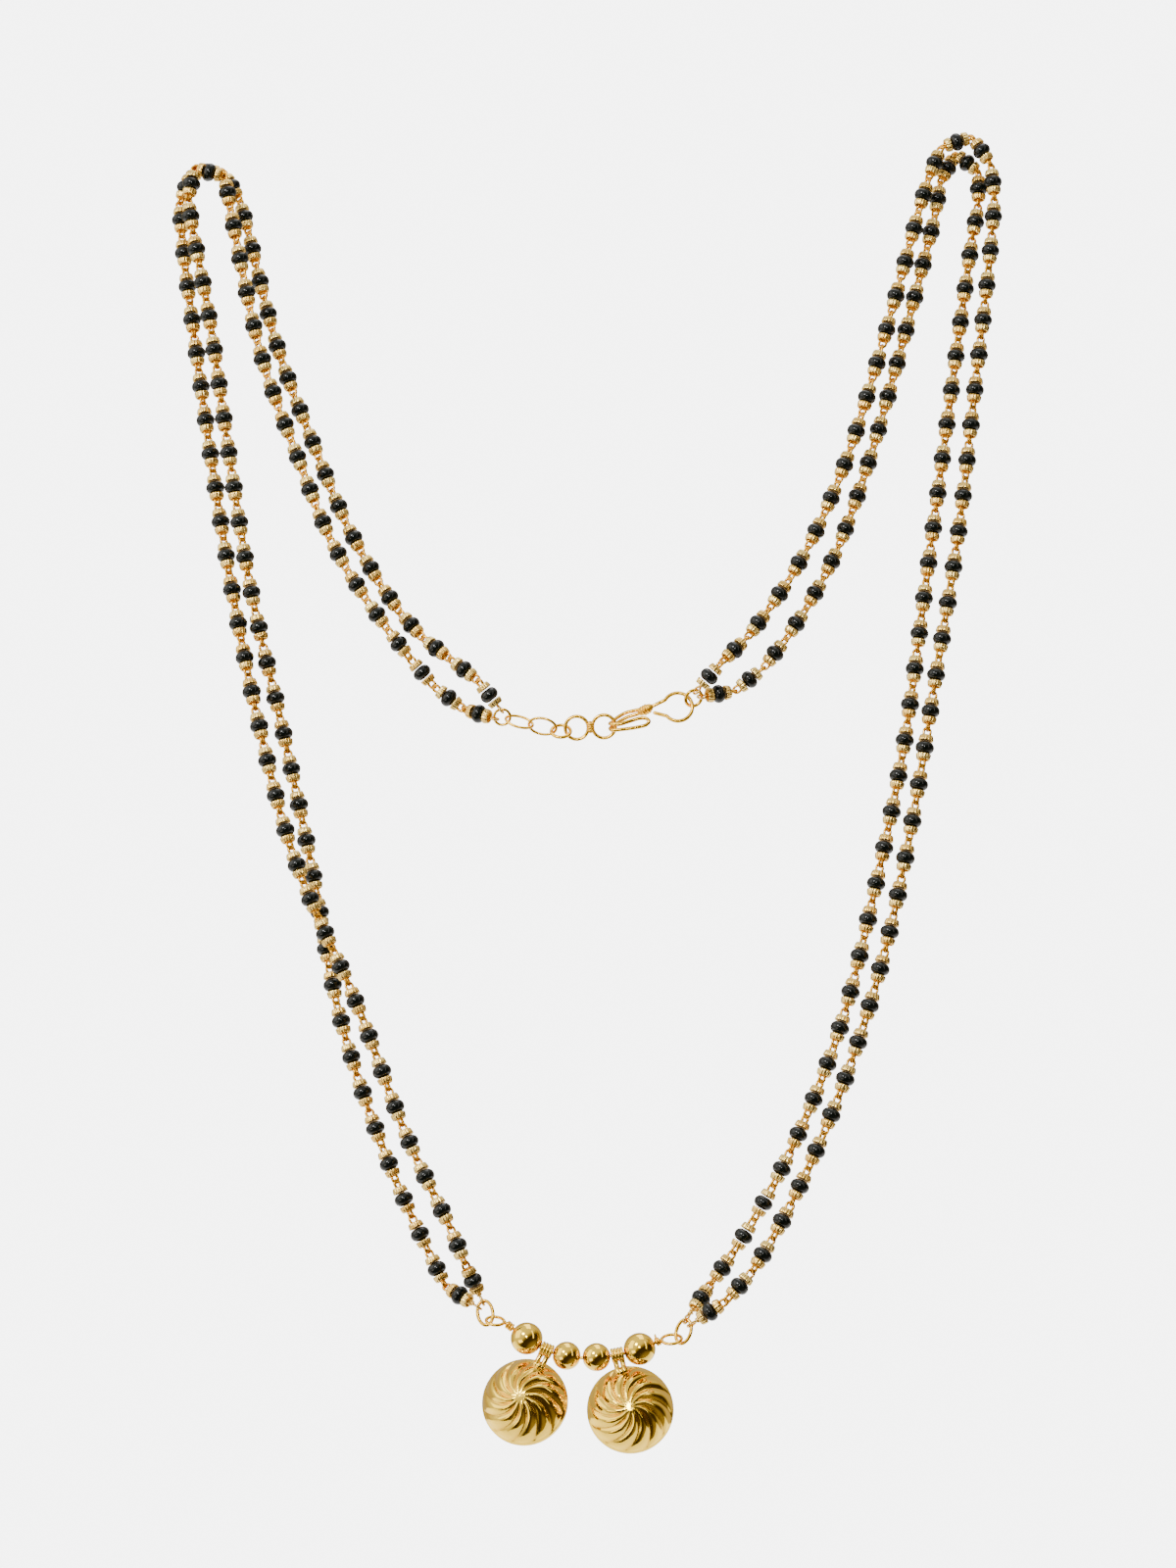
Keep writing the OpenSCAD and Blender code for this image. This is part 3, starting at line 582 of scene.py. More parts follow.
def bead_glass(name, colour):
    """Opaque black glass, wound on a rod and fire polished. The eye gets a wet gloss with small sharp
    highlights, slightly uneven from bead to bead, over a black with a trace of green."""
    material = bare_material(name)
    place = add_node(material, "ShaderNodeTexCoord")
    shift = add_node(material, "ShaderNodeAttribute", attribute_name="shift")
    # Flow marks of the wound glass
    flow = add_noise(material, place, GLASS_FLOW, 2.0)
    tone = add_node(
        material, "ShaderNodeMix", [(0, flow, "Fac")], data_type="RGBA",
        in_6=linear(colour), in_7=linear("#0F1512"),
    )
    gloss = add_node(
        material, "ShaderNodeMapRange", [("Value", shift, "Fac")], in_1=0.0, in_2=1.0, in_3=0.03, in_4=0.14
    )
    bump = add_node(
        material, "ShaderNodeBump", [("Height", flow, "Fac")], in_Strength=0.12, in_Distance=0.0003
    )
    shader = add_node(
        material, "ShaderNodeBsdfPrincipled",
        [("Base Color", tone, "Result"), ("Roughness", gloss, "Result"), ("Normal", bump, "Normal")],
        in_IOR=1.52, in_Specular_IOR_Level=0.32,
    )
    add_node(material, "ShaderNodeOutputMaterial", [("Surface", shader, "BSDF")])
    return material


def pale_floor(name, colour):
    """Matt white board: even and pale, with the faintest grain."""
    material = bare_material(name)
    place = add_node(material, "ShaderNodeTexCoord")
    grain = add_noise(material, place, BOARD_GRAIN, 3.0)
    tone = add_node(
        material, "ShaderNodeMix", [(0, grain, "Fac")], data_type="RGBA",
        in_6=linear(colour), in_7=linear("#FAF9F7"),
    )
    shader = add_node(
        material, "ShaderNodeBsdfPrincipled", [("Base Color", tone, "Result")], in_Roughness=0.8
    )
    add_node(material, "ShaderNodeOutputMaterial", [("Surface", shader, "BSDF")])
    return material


def finish(kind):
    """The material of a kind, made once."""
    tints = bpy.context.scene.mangalsutra_finish
    names = {
        "polished": "gold_plate_polished", "sheet": "gold_plate_fluted_sheet",
        "wire": "gold_plate_drawn_wire", "caps": "gold_plate_ribbed_caps",
        "glass": "black_glass_fire_polished",
    }
    found = bpy.data.materials.get(names[kind])
    if found:
        return found
    if kind == "glass":
        return bead_glass(names[kind], tints.glass)
    # Colours, the third painting shade into creases and hollows, partly as duller gold; roughness, size and
    # strength of the ripple, strength of the rub marks
    looks = {
        "polished": (tints.gold, tints.gold_deep, tints.gold_hollow_shade, 0.10, 2.2, 0.10, 0.10),
        "sheet": (tints.gold, tints.gold_deep, tints.gold_hollow_shade, 0.11, 1.6, 0.14, 0.12),
        "wire": (tints.wire_gold, tints.gold_deep, tints.gold_hollow_shade, 0.22, 0.9, 0.18, 0.20),
        "caps": (tints.cap_gold, tints.gold_deep, tints.gold_hollow_shade, 0.20, 0.6, 0.16, 0.20),
    }
    return gold_plate(names[kind], *looks[kind])


# Strands


# Softened edge of a bead's bore, in millimetres
BEAD_LIP = 0.07
# How much thinner and shorter than its size a bead may be, as shares
THINNER, SHORTER = 0.025, 0.05
# Share of a cap's length at which its wires come out
CAP_MOUTH = 0.4
# Most that a cap goes to the deeper gold, and most that two loops turn either way, in radians
CAP_SHIFT, LOOP_TURN = 0.55, 0.35
# Seeds of the random draws of a strand, to which its number is added
BEAD_SEED, CAP_SEED = 20, 40
# How far two hooked loops reach past the place where they meet, and the turn of the first, in radians
LOOP_OVERLAP, LOOP_SPIN = 0.19, 0.6
# Eye at a strand's end: half the gap of its legs, their length, and radius and wire of the turns round them
EYE_LEG, EYE_NECK, EYE_COIL_R, EYE_COIL_WIRE = 0.12, 0.9, 0.33, 0.26


def bead_template(s):
    """A rounded bead whose bore has softened lips."""
    half, r = s.bead_len / 2, s.bead_d / 2
    bore = s.bead_bore / 2
    flat = math.asin(min(1.0, (bore + BEAD_LIP - (r - half)) / half))
    angles = np.linspace(math.pi / 2 - flat, -math.pi / 2 + flat, 13)
    outer = [(r - half + half * math.cos(a), half * math.sin(a)) for a in angles]
    top = outer[0][1]
    lip = [(bore + 0.2 * BEAD_LIP, top - 0.7 * BEAD_LIP), (bore, top - 2.4 * BEAD_LIP)]
    profile = outer + [(x, -z) for x, z in lip] + lip[::-1]
    return revolved(profile[::-1], 32)


def cap_template(s):
    """A ribbed cap from the bead's side at 0 out to its open end."""
    around = 4 * s.ribs
    angle = 2 * math.pi * np.arange(around) / around
    crease = 1 - np.abs(np.sin(s.ribs / 2 * angle))
    r, h = s.cap_d / 2, s.cap_len
    # Radius as a share, height as a share, share of the rib depth, painted shade (most inside the cap and at
    # its bead end)
    rows = [
        (0.80, 0.00, 0.5, 0.8), (0.97, 0.03, 1.0, 0.3), (1.00, 0.12, 1.0, 0.0), (0.985, 0.36, 1.0, 0.0),
        (0.94, 0.66, 1.0, 0.0), (0.88, 0.90, 0.9, 0.0), (0.84, 0.98, 0.8, 0.05), (0.77, 1.00, 0.7, 0.3),
        (0.69, 0.88, 0.5, 0.7), (0.60, 0.48, 0.3, 1.0), (0.50, 0.32, 0.1, 1.0), (0.16, 0.30, 0.0, 1.0),
        (0.16, 0.02, 0.0, 1.0)]
    rows = np.array(rows)
    waves = 1 - (s.rib_depth / r) * rows[:, 2][:, None] * crease[None] ** 1.3
    # Painted shade in the creases between the ribs, added to the shade inside the cap
    unpolished_and_shade = np.clip(rows[:, 3][:, None] + 0.75 * crease[None] ** 2, 0, 1)
    return revolved(np.column_stack([rows[:, 0] * r, rows[:, 1] * h]), around, waves, unpolished_and_shade)


def loop_path(width, tip, mouth):
    """Open loop of wire in the XZ plane: from the stem at mouth, round its tip on Z, and back."""
    r = width / 2
    leg = tip - r - mouth
    side = [(0.34 * r, mouth), (0.62 * r, mouth + 0.25 * leg), (0.93 * r, mouth + 0.7 * leg)]
    arc = [(r * math.cos(a), tip - r + r * math.sin(a)) for a in np.linspace(0, math.pi, 9)]
    flat = side + arc + [(-x, z) for x, z in side[::-1]]
    return np.array([(x, 0.0, z) for x, z in flat])


def strand_frames(dirs, spins):
    """A frame for each direction, spun about it."""
    return np.array([basis(d) @ spun(a) for d, a in zip(dirs, spins)])


class MANGALSUTRA_OT_beads(bpy.types.Operator):
    """Adds the black glass beads of the four strands"""

    bl_idname = "mangalsutra.beads"
    bl_label = "Black beads"

    def execute(self, context):
        s = in_mm(context.scene.mangalsutra_strands)
        template = bead_template(s)
        for k, name in enumerate(STRANDS):
            middles, dirs = strand_beads(name)
            chance = np.random.default_rng(BEAD_SEED + k)
            n = len(middles)
            thinner, shorter = chance.uniform(0, THINNER, n), chance.uniform(0, SHORTER, n)
            scales = 1 - np.column_stack([thinner, thinner, shorter])
            frames = strand_frames(dirs, chance.uniform(0, 2 * math.pi, n))
            shape = Shape()
            shape.add_placed(template, middles, frames, scales, chance.random(n))
            shape.build(
                "black_beads_" + name, finish("glass"), "necklace", "beads_" + name, slot="black_glass"
            )
        return {"FINISHED"}


class MANGALSUTRA_OT_chains(bpy.types.Operator):
    """Adds the ribbed caps, the hooked loops and the eyes of the four strands"""

    bl_idname = "mangalsutra.chains"
    bl_label = "Caps and loops"

    def execute(self, context):
        s = in_mm(context.scene.mangalsutra_strands)
        cap = cap_template(s)
        start = s.bead_len / 2 + s.bead_gap
        for k, name in enumerate(STRANDS):
            middles, dirs = strand_beads(name)
            n = len(middles)
            chance = np.random.default_rng(CAP_SEED + k)
            shape = Shape()
            places = np.concatenate([middles + dirs * start, middles - dirs * start])
            frames = strand_frames(np.concatenate([dirs, -dirs]), chance.uniform(0, 2 * math.pi, 2 * n))
            shape.add_placed(cap, places, frames, shifts=chance.uniform(0, CAP_SHIFT, 2 * n))
            spins = chance.uniform(-LOOP_TURN, LOOP_TURN, n + 1)
            self.add_loops(shape, s, middles, dirs, spins)
            for i, out in ((0, -dirs[0]), (n - 1, dirs[n - 1])):
                self.add_eye(shape, s, name, middles[i], out)
            shape.build("caps_and_loops_" + name, finish("caps"), "necklace", "chain_" + name)
        return {"FINISHED"}

    def add_loops(self, shape, s, middles, dirs, spins):
        """Two hooked loops between each two beads, one across the other."""
        mouth = s.bead_len / 2 + s.bead_gap + CAP_MOUTH * s.cap_len
        for i in range(len(middles) - 1):
            joint = meeting(middles[i], dirs[i], middles[i + 1], dirs[i + 1])
            across = np.cross(Y, dirs[i])
            for middle, out, spin in (
                (middles[i], dirs[i], LOOP_SPIN), (middles[i + 1], -dirs[i + 1], LOOP_SPIN + math.pi / 2)
            ):
                path = loop_path(s.loop_width, (joint - middle) @ out + LOOP_OVERLAP, mouth)
                level = unit(across - (across @ out) * out)
                columns = basis(out, turned(level, out, math.degrees(spin + spins[i])))
                points, quads, tris, _ = tube(path, s.loop_wire, 6)
                # Painted shade: the deeper a wire lies in its cap, the darker it is
                unpolished_and_shade = np.clip(1.2 - (points[:, 2] - mouth) * 1.1, 0, 1)
                shape.add(*moved((points, quads, tris, unpolished_and_shade), middle, columns), shift=1.0)

    def add_eye(self, shape, s, name, middle, out):
        """The long eye that holds on to a ring at the end of a strand, with a wound neck."""
        at, normal = strand_eye(name, middle, out, (s.eye_d + s.eye_wire) / 2)
        reach = (at - middle) @ out
        columns = basis(out, np.cross(normal, out))
        mouth = s.bead_len / 2 + s.bead_gap + CAP_MOUTH * s.cap_len
        r = s.eye_d / 2
        arc = [(r * math.cos(a), 0, reach + r * math.sin(a)) for a in np.linspace(-0.9, math.pi + 0.9, 22)]
        leg = [(EYE_LEG, 0, mouth), (EYE_LEG + 0.02, 0, reach - EYE_NECK)]
        path = leg + arc + [(-x, y, z) for x, y, z in leg[::-1]]
        shape.add(*moved(tube(path, s.eye_wire, 8), middle, columns), shift=0.4)
        first, last = s.bead_len / 2 + s.bead_gap + 0.75 * s.cap_len, reach - EYE_NECK - 0.02
        if last - first > EYE_COIL_WIRE:
            # The turns round the neck get a little painted shade
            coil = helix(EYE_COIL_R, EYE_COIL_R, first, last, 3, 48)
            shape.add(*moved(tube(coil, EYE_COIL_WIRE, 6, unpolished_and_shade=0.25), middle, columns))


# Pendant


class Sag:
    """The sagging wire's places, from the same values as the CAD source."""

    # Millimetres and degrees
    lowest = np.array([61.1, 0, -189.95])
    left_stem_slope, right_stem_slope = 36.6, 22.0
    left_stem, right_stem = 1.8, 1.15
    left_loop_slope, right_loop_slope, loop_tilt = 6.0, 5.0, 34.0
    left_bail_turn, right_bail_turn = -23.0, 10.6
    ball_gap = 0.1

    def __init__(self, p):
        self.left_r, self.right_r = p.left_bend_r, p.right_bend_r
        step = p.bail_len / 2 + self.ball_gap
        outer, inner = step + p.outer_ball_d / 2, step + p.inner_ball_d / 2
        self.turns = [
            self.left_bail_turn - math.degrees(outer / self.left_r),
            self.left_bail_turn + math.degrees(inner / self.left_r),
            self.right_bail_turn - math.degrees(inner / self.right_r),
            self.right_bail_turn + math.degrees(outer / self.right_r)]
        self.left_dir = self.slope(180 - self.left_stem_slope)
        self.right_dir = self.slope(self.right_stem_slope)
        self.left_end = self.point(self.turns[0]) + (p.outer_ball_d / 2 + self.left_stem) * self.left_dir
        self.right_end = self.point(self.turns[3]) + (p.outer_ball_d / 2 + self.right_stem) * self.right_dir
        self.left_loop_dir = self.slope(180 - self.left_loop_slope)
        self.right_loop_dir = self.slope(self.right_loop_slope)
        self.left_loop = self.left_end + p.left_loop_d / 2 * self.left_loop_dir
        self.right_loop = self.right_end + p.right_loop_d / 2 * self.right_loop_dir

    @staticmethod
    def slope(degrees):
        a = math.radians(degrees)
        return np.array([math.cos(a), 0, math.sin(a)])

    def point(self, turn):
        r = self.left_r if turn < 0 else self.right_r
        a = math.radians(turn)
        return self.lowest + r * np.array([math.sin(a), 0, 1 - math.cos(a)])


class MANGALSUTRA_OT_pendant_wire(bpy.types.Operator):
    """Adds the sagging wire with its wound stems and end loops"""

    bl_idname = "mangalsutra.pendant_wire"
    bl_label = "Pendant wire"

    def execute(self, context):
        p = in_mm(context.scene.mangalsutra_pendant)
        sag = Sag(p)
        shape = Shape()
        arc = [sag.point(t) for t in np.linspace(sag.turns[0], sag.turns[3], 60)]
        for loop, direction, d in (
            (sag.left_loop, sag.left_loop_dir, p.left_loop_d),
            (sag.right_loop, sag.right_loop_dir, p.right_loop_d),
        ):
            lift = math.radians(sag.loop_tilt)
            up = np.cross(direction, Y) * np.sign(direction[0])
            across = math.cos(lift) * Y + math.sin(lift) * up
            around = np.linspace(math.pi, -math.pi, 48)[:-1]
            ring = [loop + d / 2 * (math.cos(a) * direction + math.sin(a) * across) for a in around]
            shape.add(*tube(ring, p.wire_d, 12, closed=True))
        shape.add(*tube([sag.left_end, *arc, sag.right_end], p.wire_d, 12))
        self.add_wraps(shape, p, arc[0], sag.left_end, 3, False)
        self.add_wraps(shape, p, arc[-1], sag.right_end, 2, True)
        shape.build("sagging_wire", finish("wire"), "necklace", "pendant_wire")
        return {"FINISHED"}

    def add_wraps(self, shape, p, start, end, turns, tail):
        """Wire wound round a stem, from the ball to the loop's foot."""
        out = unit(end - start)
        columns = basis(out, Y)
        # The turns press a little into each other and on to the stem
        pitch = 0.94 * p.wrap_wire
        first = p.outer_ball_d / 2 + Sag.ball_gap + p.wrap_wire / 2
        r = p.wire_d / 2 + 0.43 * p.wrap_wire
        angle = np.linspace(0, 2 * math.pi * turns, 20 * turns)
        height = first + np.clip(angle / (2 * math.pi) - 0.5, 0, turns - 1) * pitch
        coil = np.column_stack([r * np.cos(angle), r * np.sin(angle), height])
        # The turns get a little painted shade, and the stem's foot under them more
        shape.add(*moved(tube(coil, p.wrap_wire, 10, unpolished_and_shade=0.1), start, columns))
        span = np.linalg.norm(end - start)
        foot = np.array([(0.08, 0, first), (0.1, 0, span - 0.3), (0.0, 0, span)])
        shape.add(*moved(tube(foot, 1.15 * p.wire_d, 10, unpolished_and_shade=0.2), start, columns))
        if tail:
            # The cut end of the wound wire stands up from its first turn, as a spike
            base = start + first * out
            up = np.array([-0.2, 0, 0.98])
            points = [base + up * t + Y * -0.12 for t in (0.25, 0.7, 1.1)]
            shape.add(*tube(points, [0.4, 0.36, 0.3], 8))


# Softened edge of a ball's bore, in millimetres
BALL_LIP = 0.1


class MANGALSUTRA_OT_balls(bpy.types.Operator):
    """Adds the four polished gold balls"""

    bl_idname = "mangalsutra.balls"
    bl_label = "Gold balls"

    def execute(self, context):
        p = in_mm(context.scene.mangalsutra_pendant)
        sag = Sag(p)
        for i, turn in enumerate(sag.turns):
            node = "gold_ball_%d" % (i + 1)
            r = (p.outer_ball_d if i in (0, 3) else p.inner_ball_d) / 2
            direction = sag.slope(turn) if i != 3 else unit(sag.slope(turn) + sag.right_dir)
            bore = p.ball_bore / 2
            edge = math.asin((bore + BALL_LIP) / r)
            outer = [(r * math.sin(a), r * math.cos(a)) for a in np.linspace(edge, math.pi - edge, 44)]
            top = outer[0][1]
            lip = [(bore + 0.3 * BALL_LIP, top + 0.05 * BALL_LIP), (bore, top - 0.6 * BALL_LIP)]
            profile = (outer + [(x, -z) for x, z in lip] + lip[::-1])[::-1]
            # Painted shade in the bore and on its lips
            shade = [0.6, 1, 1, 0.6] + [0.0] * len(outer)
            shape = Shape()
            shape.add(*moved(revolved(profile, 64, unpolished_and_shade=shade), cad_middle(node), basis(direction, Y)))
            shape.build(node + "_polished", finish("polished"), "necklace", node)
        return {"FINISHED"}


# Sections of a cup from crown to rim, as shares: radius, height, flute depth
CUP_SECTIONS = np.array([
    [0.00, 1.000, 0.00], [0.10, 0.995, 0.00], [0.24, 0.975, 0.60], [0.42, 0.910, 1.00], [0.58, 0.805, 1.00],
    [0.72, 0.665, 1.00], [0.84, 0.500, 1.00], [0.92, 0.335, 0.80], [0.96, 0.215, 0.15], [1.00, 0.120, 0.00],
    [1.00, 0.000, 0.00]])
# Open back of a cup behind its bail's bore, and how its rim is rounded, in millimetres
CUP_BACK, RIM_ROUND, EDGE_SUNK = 2.4, 0.1, 0.03
# Lean of each cup to the side and turn about its bail, in degrees
CUP_LEANS = {"cup_left": (-2.5, -10.0), "cup_right": (3.0, 0.0)}
# Points round a flute, and rows between two sections
FLUTE_POINTS, SPAN_ROWS = 14, 5
# Posts of a cup, how far they stand from its middle, and the ball of solder at their foot, in millimetres
POST_D, POST_STEP, SOLDER_D = 0.9, 0.5, 1.3
# Ribs of a bail, and how high they rise as a share of their width
BAIL_RIBS, RIB_RISE = 4, 0.42


def cup_sheet(p, inset):
    """One face of the fluted sheet: rows of points from crown to rim that follow the flutes."""
    rows = rounded(CUP_SECTIONS, SPAN_ROWS)[1:]
    share, height, depth = rows[:, 0].clip(0, 1), rows[:, 1].clip(0, 1), rows[:, 2].clip(0, 1)
    around = p.flutes * FLUTE_POINTS
    along = 2 * math.pi * np.arange(around) / around
    groove = 1 - np.abs(np.sin(p.flutes / 2 * along))
    turn = along[None] - p.flute_sweep * share[:, None] ** 1.4
    r = (share * (p.cup_d / 2 - inset))[:, None] * np.ones_like(turn)
    fall = p.flute_depth * depth[:, None] * groove[None]
    h = (height * (p.cup_h - inset))[:, None] - fall
    points = np.stack([r * np.cos(turn), CUP_BACK - h, r * np.sin(turn)], -1)
    # Painted shade in the creases between the flutes
    return points, np.clip(depth[:, None] * groove[None] ** 2 * 0.6, 0, 1)


class MANGALSUTRA_OT_cups(bpy.types.Operator):
    """Adds the two fluted cups with their ribbed bails"""

    bl_idname = "mangalsutra.cups"
    bl_label = "Fluted cups"

    def execute(self, context):
        p = in_mm(context.scene.mangalsutra_pendant)
        for joint in frame["joints"]:
            node = joint["child"]
            lean, yaw = np.radians(CUP_LEANS[node])
            at = np.array(joint["pos_m"]) / MM
            bail_columns = np.column_stack([joint["axis"], Y, np.cross(joint["axis"], Y)])
            c, s = math.cos(lean), math.sin(lean)
            lean_columns = bail_columns @ np.array([[c, 0, -s], [0, 1, 0], [s, 0, c]])
            yaw_columns = lean_columns @ spun(yaw)
            shape = Shape()
            self.add_bowl(shape, p, at - p.cup_drop * lean_columns[:, 2], yaw_columns)
            self.add_posts(shape, p, at, lean_columns)
            self.add_bail(shape, p, at, bail_columns)
            shape.build("fluted_" + node, finish("sheet"), node, node)
        return {"FINISHED"}

    def add_bowl(self, shape, p, at, columns):
        """The fluted bowl, a shell of thin sheet, open at its back."""
        outer, outer_shade = cup_sheet(p, 0.0)
        inner, inner_shade = cup_sheet(p, p.cup_wall)
        # Three rings round the rim over, by their share of the way to the inner face and how deep they lie
        rim = []
        for share, sunk in ((0.8, EDGE_SUNK), (0.5, 0), (0.2, EDGE_SUNK)):
            ring = share * inner[-1] + (1 - share) * outer[-1]
            ring[:, 1] = CUP_BACK - sunk
            rim.append(ring)
        for face in (outer, inner):
            face[-1, :, 1] -= RIM_ROUND
        rows = np.concatenate([inner, rim, outer[::-1]])
        # Painted shade: the inside of the bowl and the middle of its inner crown are darker than the outside;
        # the rim gets none
        plain = np.zeros(3 * outer.shape[1])
        unpolished_and_shade = np.concatenate([0.15 + 0.4 * inner_shade.ravel(), plain, outer_shade[::-1].ravel()])
        crown = CUP_BACK - p.cup_h
        sheet = capped(rows, (0, crown + p.cup_wall, 0), (0, crown, 0))
        shape.add(*moved((*sheet, np.append(unpolished_and_shade, [0.8, 0])), at, columns))

    def add_posts(self, shape, p, at, columns):
        """Two short posts that spread on to the cup, and the ball of solder at their foot."""
        # The ball of solder sits a little inside the bowl's rim
        solder = p.cup_drop - 0.86 * p.cup_d / 2
        top = p.bail_d / 4
        share = np.linspace(0, 1, 12)
        widths = POST_D * (1.0 + 0.16 * (1 - share) ** 3 - 0.16 * np.sin(math.pi * share))
        for side in (-1, 1):
            path = np.linspace((side * POST_STEP, 0, -solder), (side * POST_STEP, 0, -top), 12)
            # The posts get a little painted shade, the ball of solder less
            shape.add(*moved(tube(path, widths, 20, unpolished_and_shade=0.15), at, columns))
        rise = np.linspace(-math.pi / 2, math.pi / 2, 16)[1:-1, None]
        turn = np.linspace(0, 2 * math.pi, 29)[None, :-1]
        rings = [np.cos(rise) * np.cos(turn), np.cos(rise) * np.sin(turn), np.sin(rise) * np.ones_like(turn)]
        points, quads, tris = capped(np.stack(rings, -1), (0, 0, -1), (0, 0, 1))
        ball = points * SOLDER_D / 2, quads, tris, np.full(len(points), 0.1)
        shape.add(*moved(ball, at - solder * columns[:, 2], columns))

    def add_bail(self, shape, p, at, columns):
        """A tube round the wire, with rounded ribs, and painted shade in the creases between them and in the
        bore.
        """
        x = np.linspace(-0.5, 0.5, 12 * BAIL_RIBS + 1)
        bulge = np.abs(np.sin(math.pi * BAIL_RIBS * (x + 0.5)))
        rise = RIB_RISE * p.bail_len / BAIL_RIBS
        outer = p.bail_d / 2 - rise + rise * np.sqrt(bulge)
        profile = [(r, v * p.bail_len) for r, v in zip(outer, x)]
        bore = p.bail_bore / 2
        lip = [(bore + 0.12, p.bail_len / 2), (bore, p.bail_len / 2 - 0.08)]
        profile += lip + [(r, -v) for r, v in lip[::-1]]
        # Painted shade in the creases between the ribs and in the bore
        shade = list(0.9 * (1 - np.sqrt(bulge)) ** 1.5) + [0.5, 1, 1, 0.5]
        frame_x = np.column_stack([columns[:, 1], columns[:, 2], columns[:, 0]])
        shape.add(*moved(revolved(profile, 48, unpolished_and_shade=shade), at, frame_x))


# Rings and clasp


class MANGALSUTRA_OT_rings(bpy.types.Operator):
    """Adds the jump rings, the clasp's links and the hook ring"""

    bl_idname = "mangalsutra.rings"
    bl_label = "Rings and links"

    def execute(self, context):
        for node in (*ROUND_RINGS, *OVAL_RINGS):
            middle, axes, extent = main_axes(cad_points(node)[0])
            wire = extent[2]
            length, width = extent[0] - wire, extent[1] - wire
            if node in OVAL_RINGS:
                width *= OVAL_RINGS[node]
                steps = OVAL_STEPS
            else:
                length = width = (length + width) / 2
                steps = ROUND_STEPS
            angle = 2 * math.pi * np.arange(steps) / steps
            outline = np.column_stack([length / 2 * np.cos(angle), width / 2 * np.sin(angle)])
            path = middle + outline[:, :1] * axes[0] + outline[:, 1:] * axes[1]
            shape = Shape()
            shape.add(*tube(path, RING_BOLD * wire, 16, closed=True))
            shape.build(node + "_wire", finish("wire"), "necklace", node)
        return {"FINISHED"}


# Waist of the figure of eight, in millimetres: gap between its rings, half the length of the solder,
# the wire wound over it, and that wire's half widths, ends, turns and number of points
WAIST_GAP, SOLDER_HALF, WAIST_WIRE = 0.1, 0.62, 0.34
WAIST_COIL = (0.50, 0.40, -0.52, 0.52, 3.4, 80)


class MANGALSUTRA_OT_figure_eight(bpy.types.Operator):
    """Adds the figure of eight that the hook catches"""

    bl_idname = "mangalsutra.figure_eight"
    bl_label = "Figure of eight"

    def execute(self, context):
        c = in_mm(context.scene.mangalsutra_clasp)
        middle, axes, _ = main_axes(cad_points("figure_eight")[0])
        step = (c.eight_ring_d + c.clasp_wire + WAIST_GAP) / 2
        angle = 2 * math.pi * np.arange(60)[:, None] / 60
        ring = c.eight_ring_d / 2 * (np.cos(angle) * axes[0] + np.sin(angle) * axes[1])
        shape = Shape()
        for side in (-1, 1):
            shape.add(*tube(middle + side * step * axes[0] + ring, c.clasp_wire, 16, closed=True))
        # Solder between the rings, wound over with thin wire; the solder gets painted shade, the wire a
        # little
        waist = np.array([middle + share * SOLDER_HALF * axes[1] for share in (-1, -0.3, 0.3, 1)])
        shape.add(*tube(waist, 1.3 * c.clasp_wire, 16, unpolished_and_shade=0.6))
        coil = tube(helix(*WAIST_COIL), WAIST_WIRE, 8, unpolished_and_shade=0.2)
        shape.add(*moved(coil, middle, np.column_stack([axes[0], np.cross(axes[1], axes[0]), axes[1]])))
        shape.build("figure_eight_wire", finish("wire"), "necklace", "figure_eight")
        return {"FINISHED"}


# Bends of the doubled wire of the hook, as shares of its length: out, depth, height
HOOK_BENDS = [
    [0.400, 0.040, 0.232], [0.300, 0.052, 0.212], [0.190, 0.060, 0.186], [0.080, 0.062, 0.122],
    [0.030, 0.050, 0.070], [0.000, 0.000, 0.036], [0.026, -0.056, 0.012], [0.100, -0.072, 0.004],
    [0.250, -0.072, 0.050], [0.360, -0.072, 0.082], [0.430, -0.072, 0.078], [0.462, -0.072, 0.042],
    [0.430, -0.072, 0.000], [0.340, -0.072, -0.026], [0.200, -0.072, -0.050], [0.090, -0.072, -0.062],
    [0.030, -0.056, -0.062], [0.002, 0.000, -0.024], [0.030, 0.050, 0.008], [0.100, 0.062, 0.070],
    [0.200, 0.060, 0.128], [0.310, 0.052, 0.162], [0.410, 0.040, 0.190]]
# Ends of its neck, and start, middle and cut end of its round end, as shares; then that end's width
HOOK_NECK = [[0.370, 0.044, 0.190], [0.470, 0.010, 0.236]]
ROUND_END = [[0.450, 0.016, 0.226], [0.806, 0.000, 0.240], [0.530, 0.000, 0.168]]
ROUND_END_WIDTH = 0.345
# Wire wound round the neck, and how deep it is pressed on, in millimetres
NECK_WIRE, NECK_PRESS = 0.46, 0.23


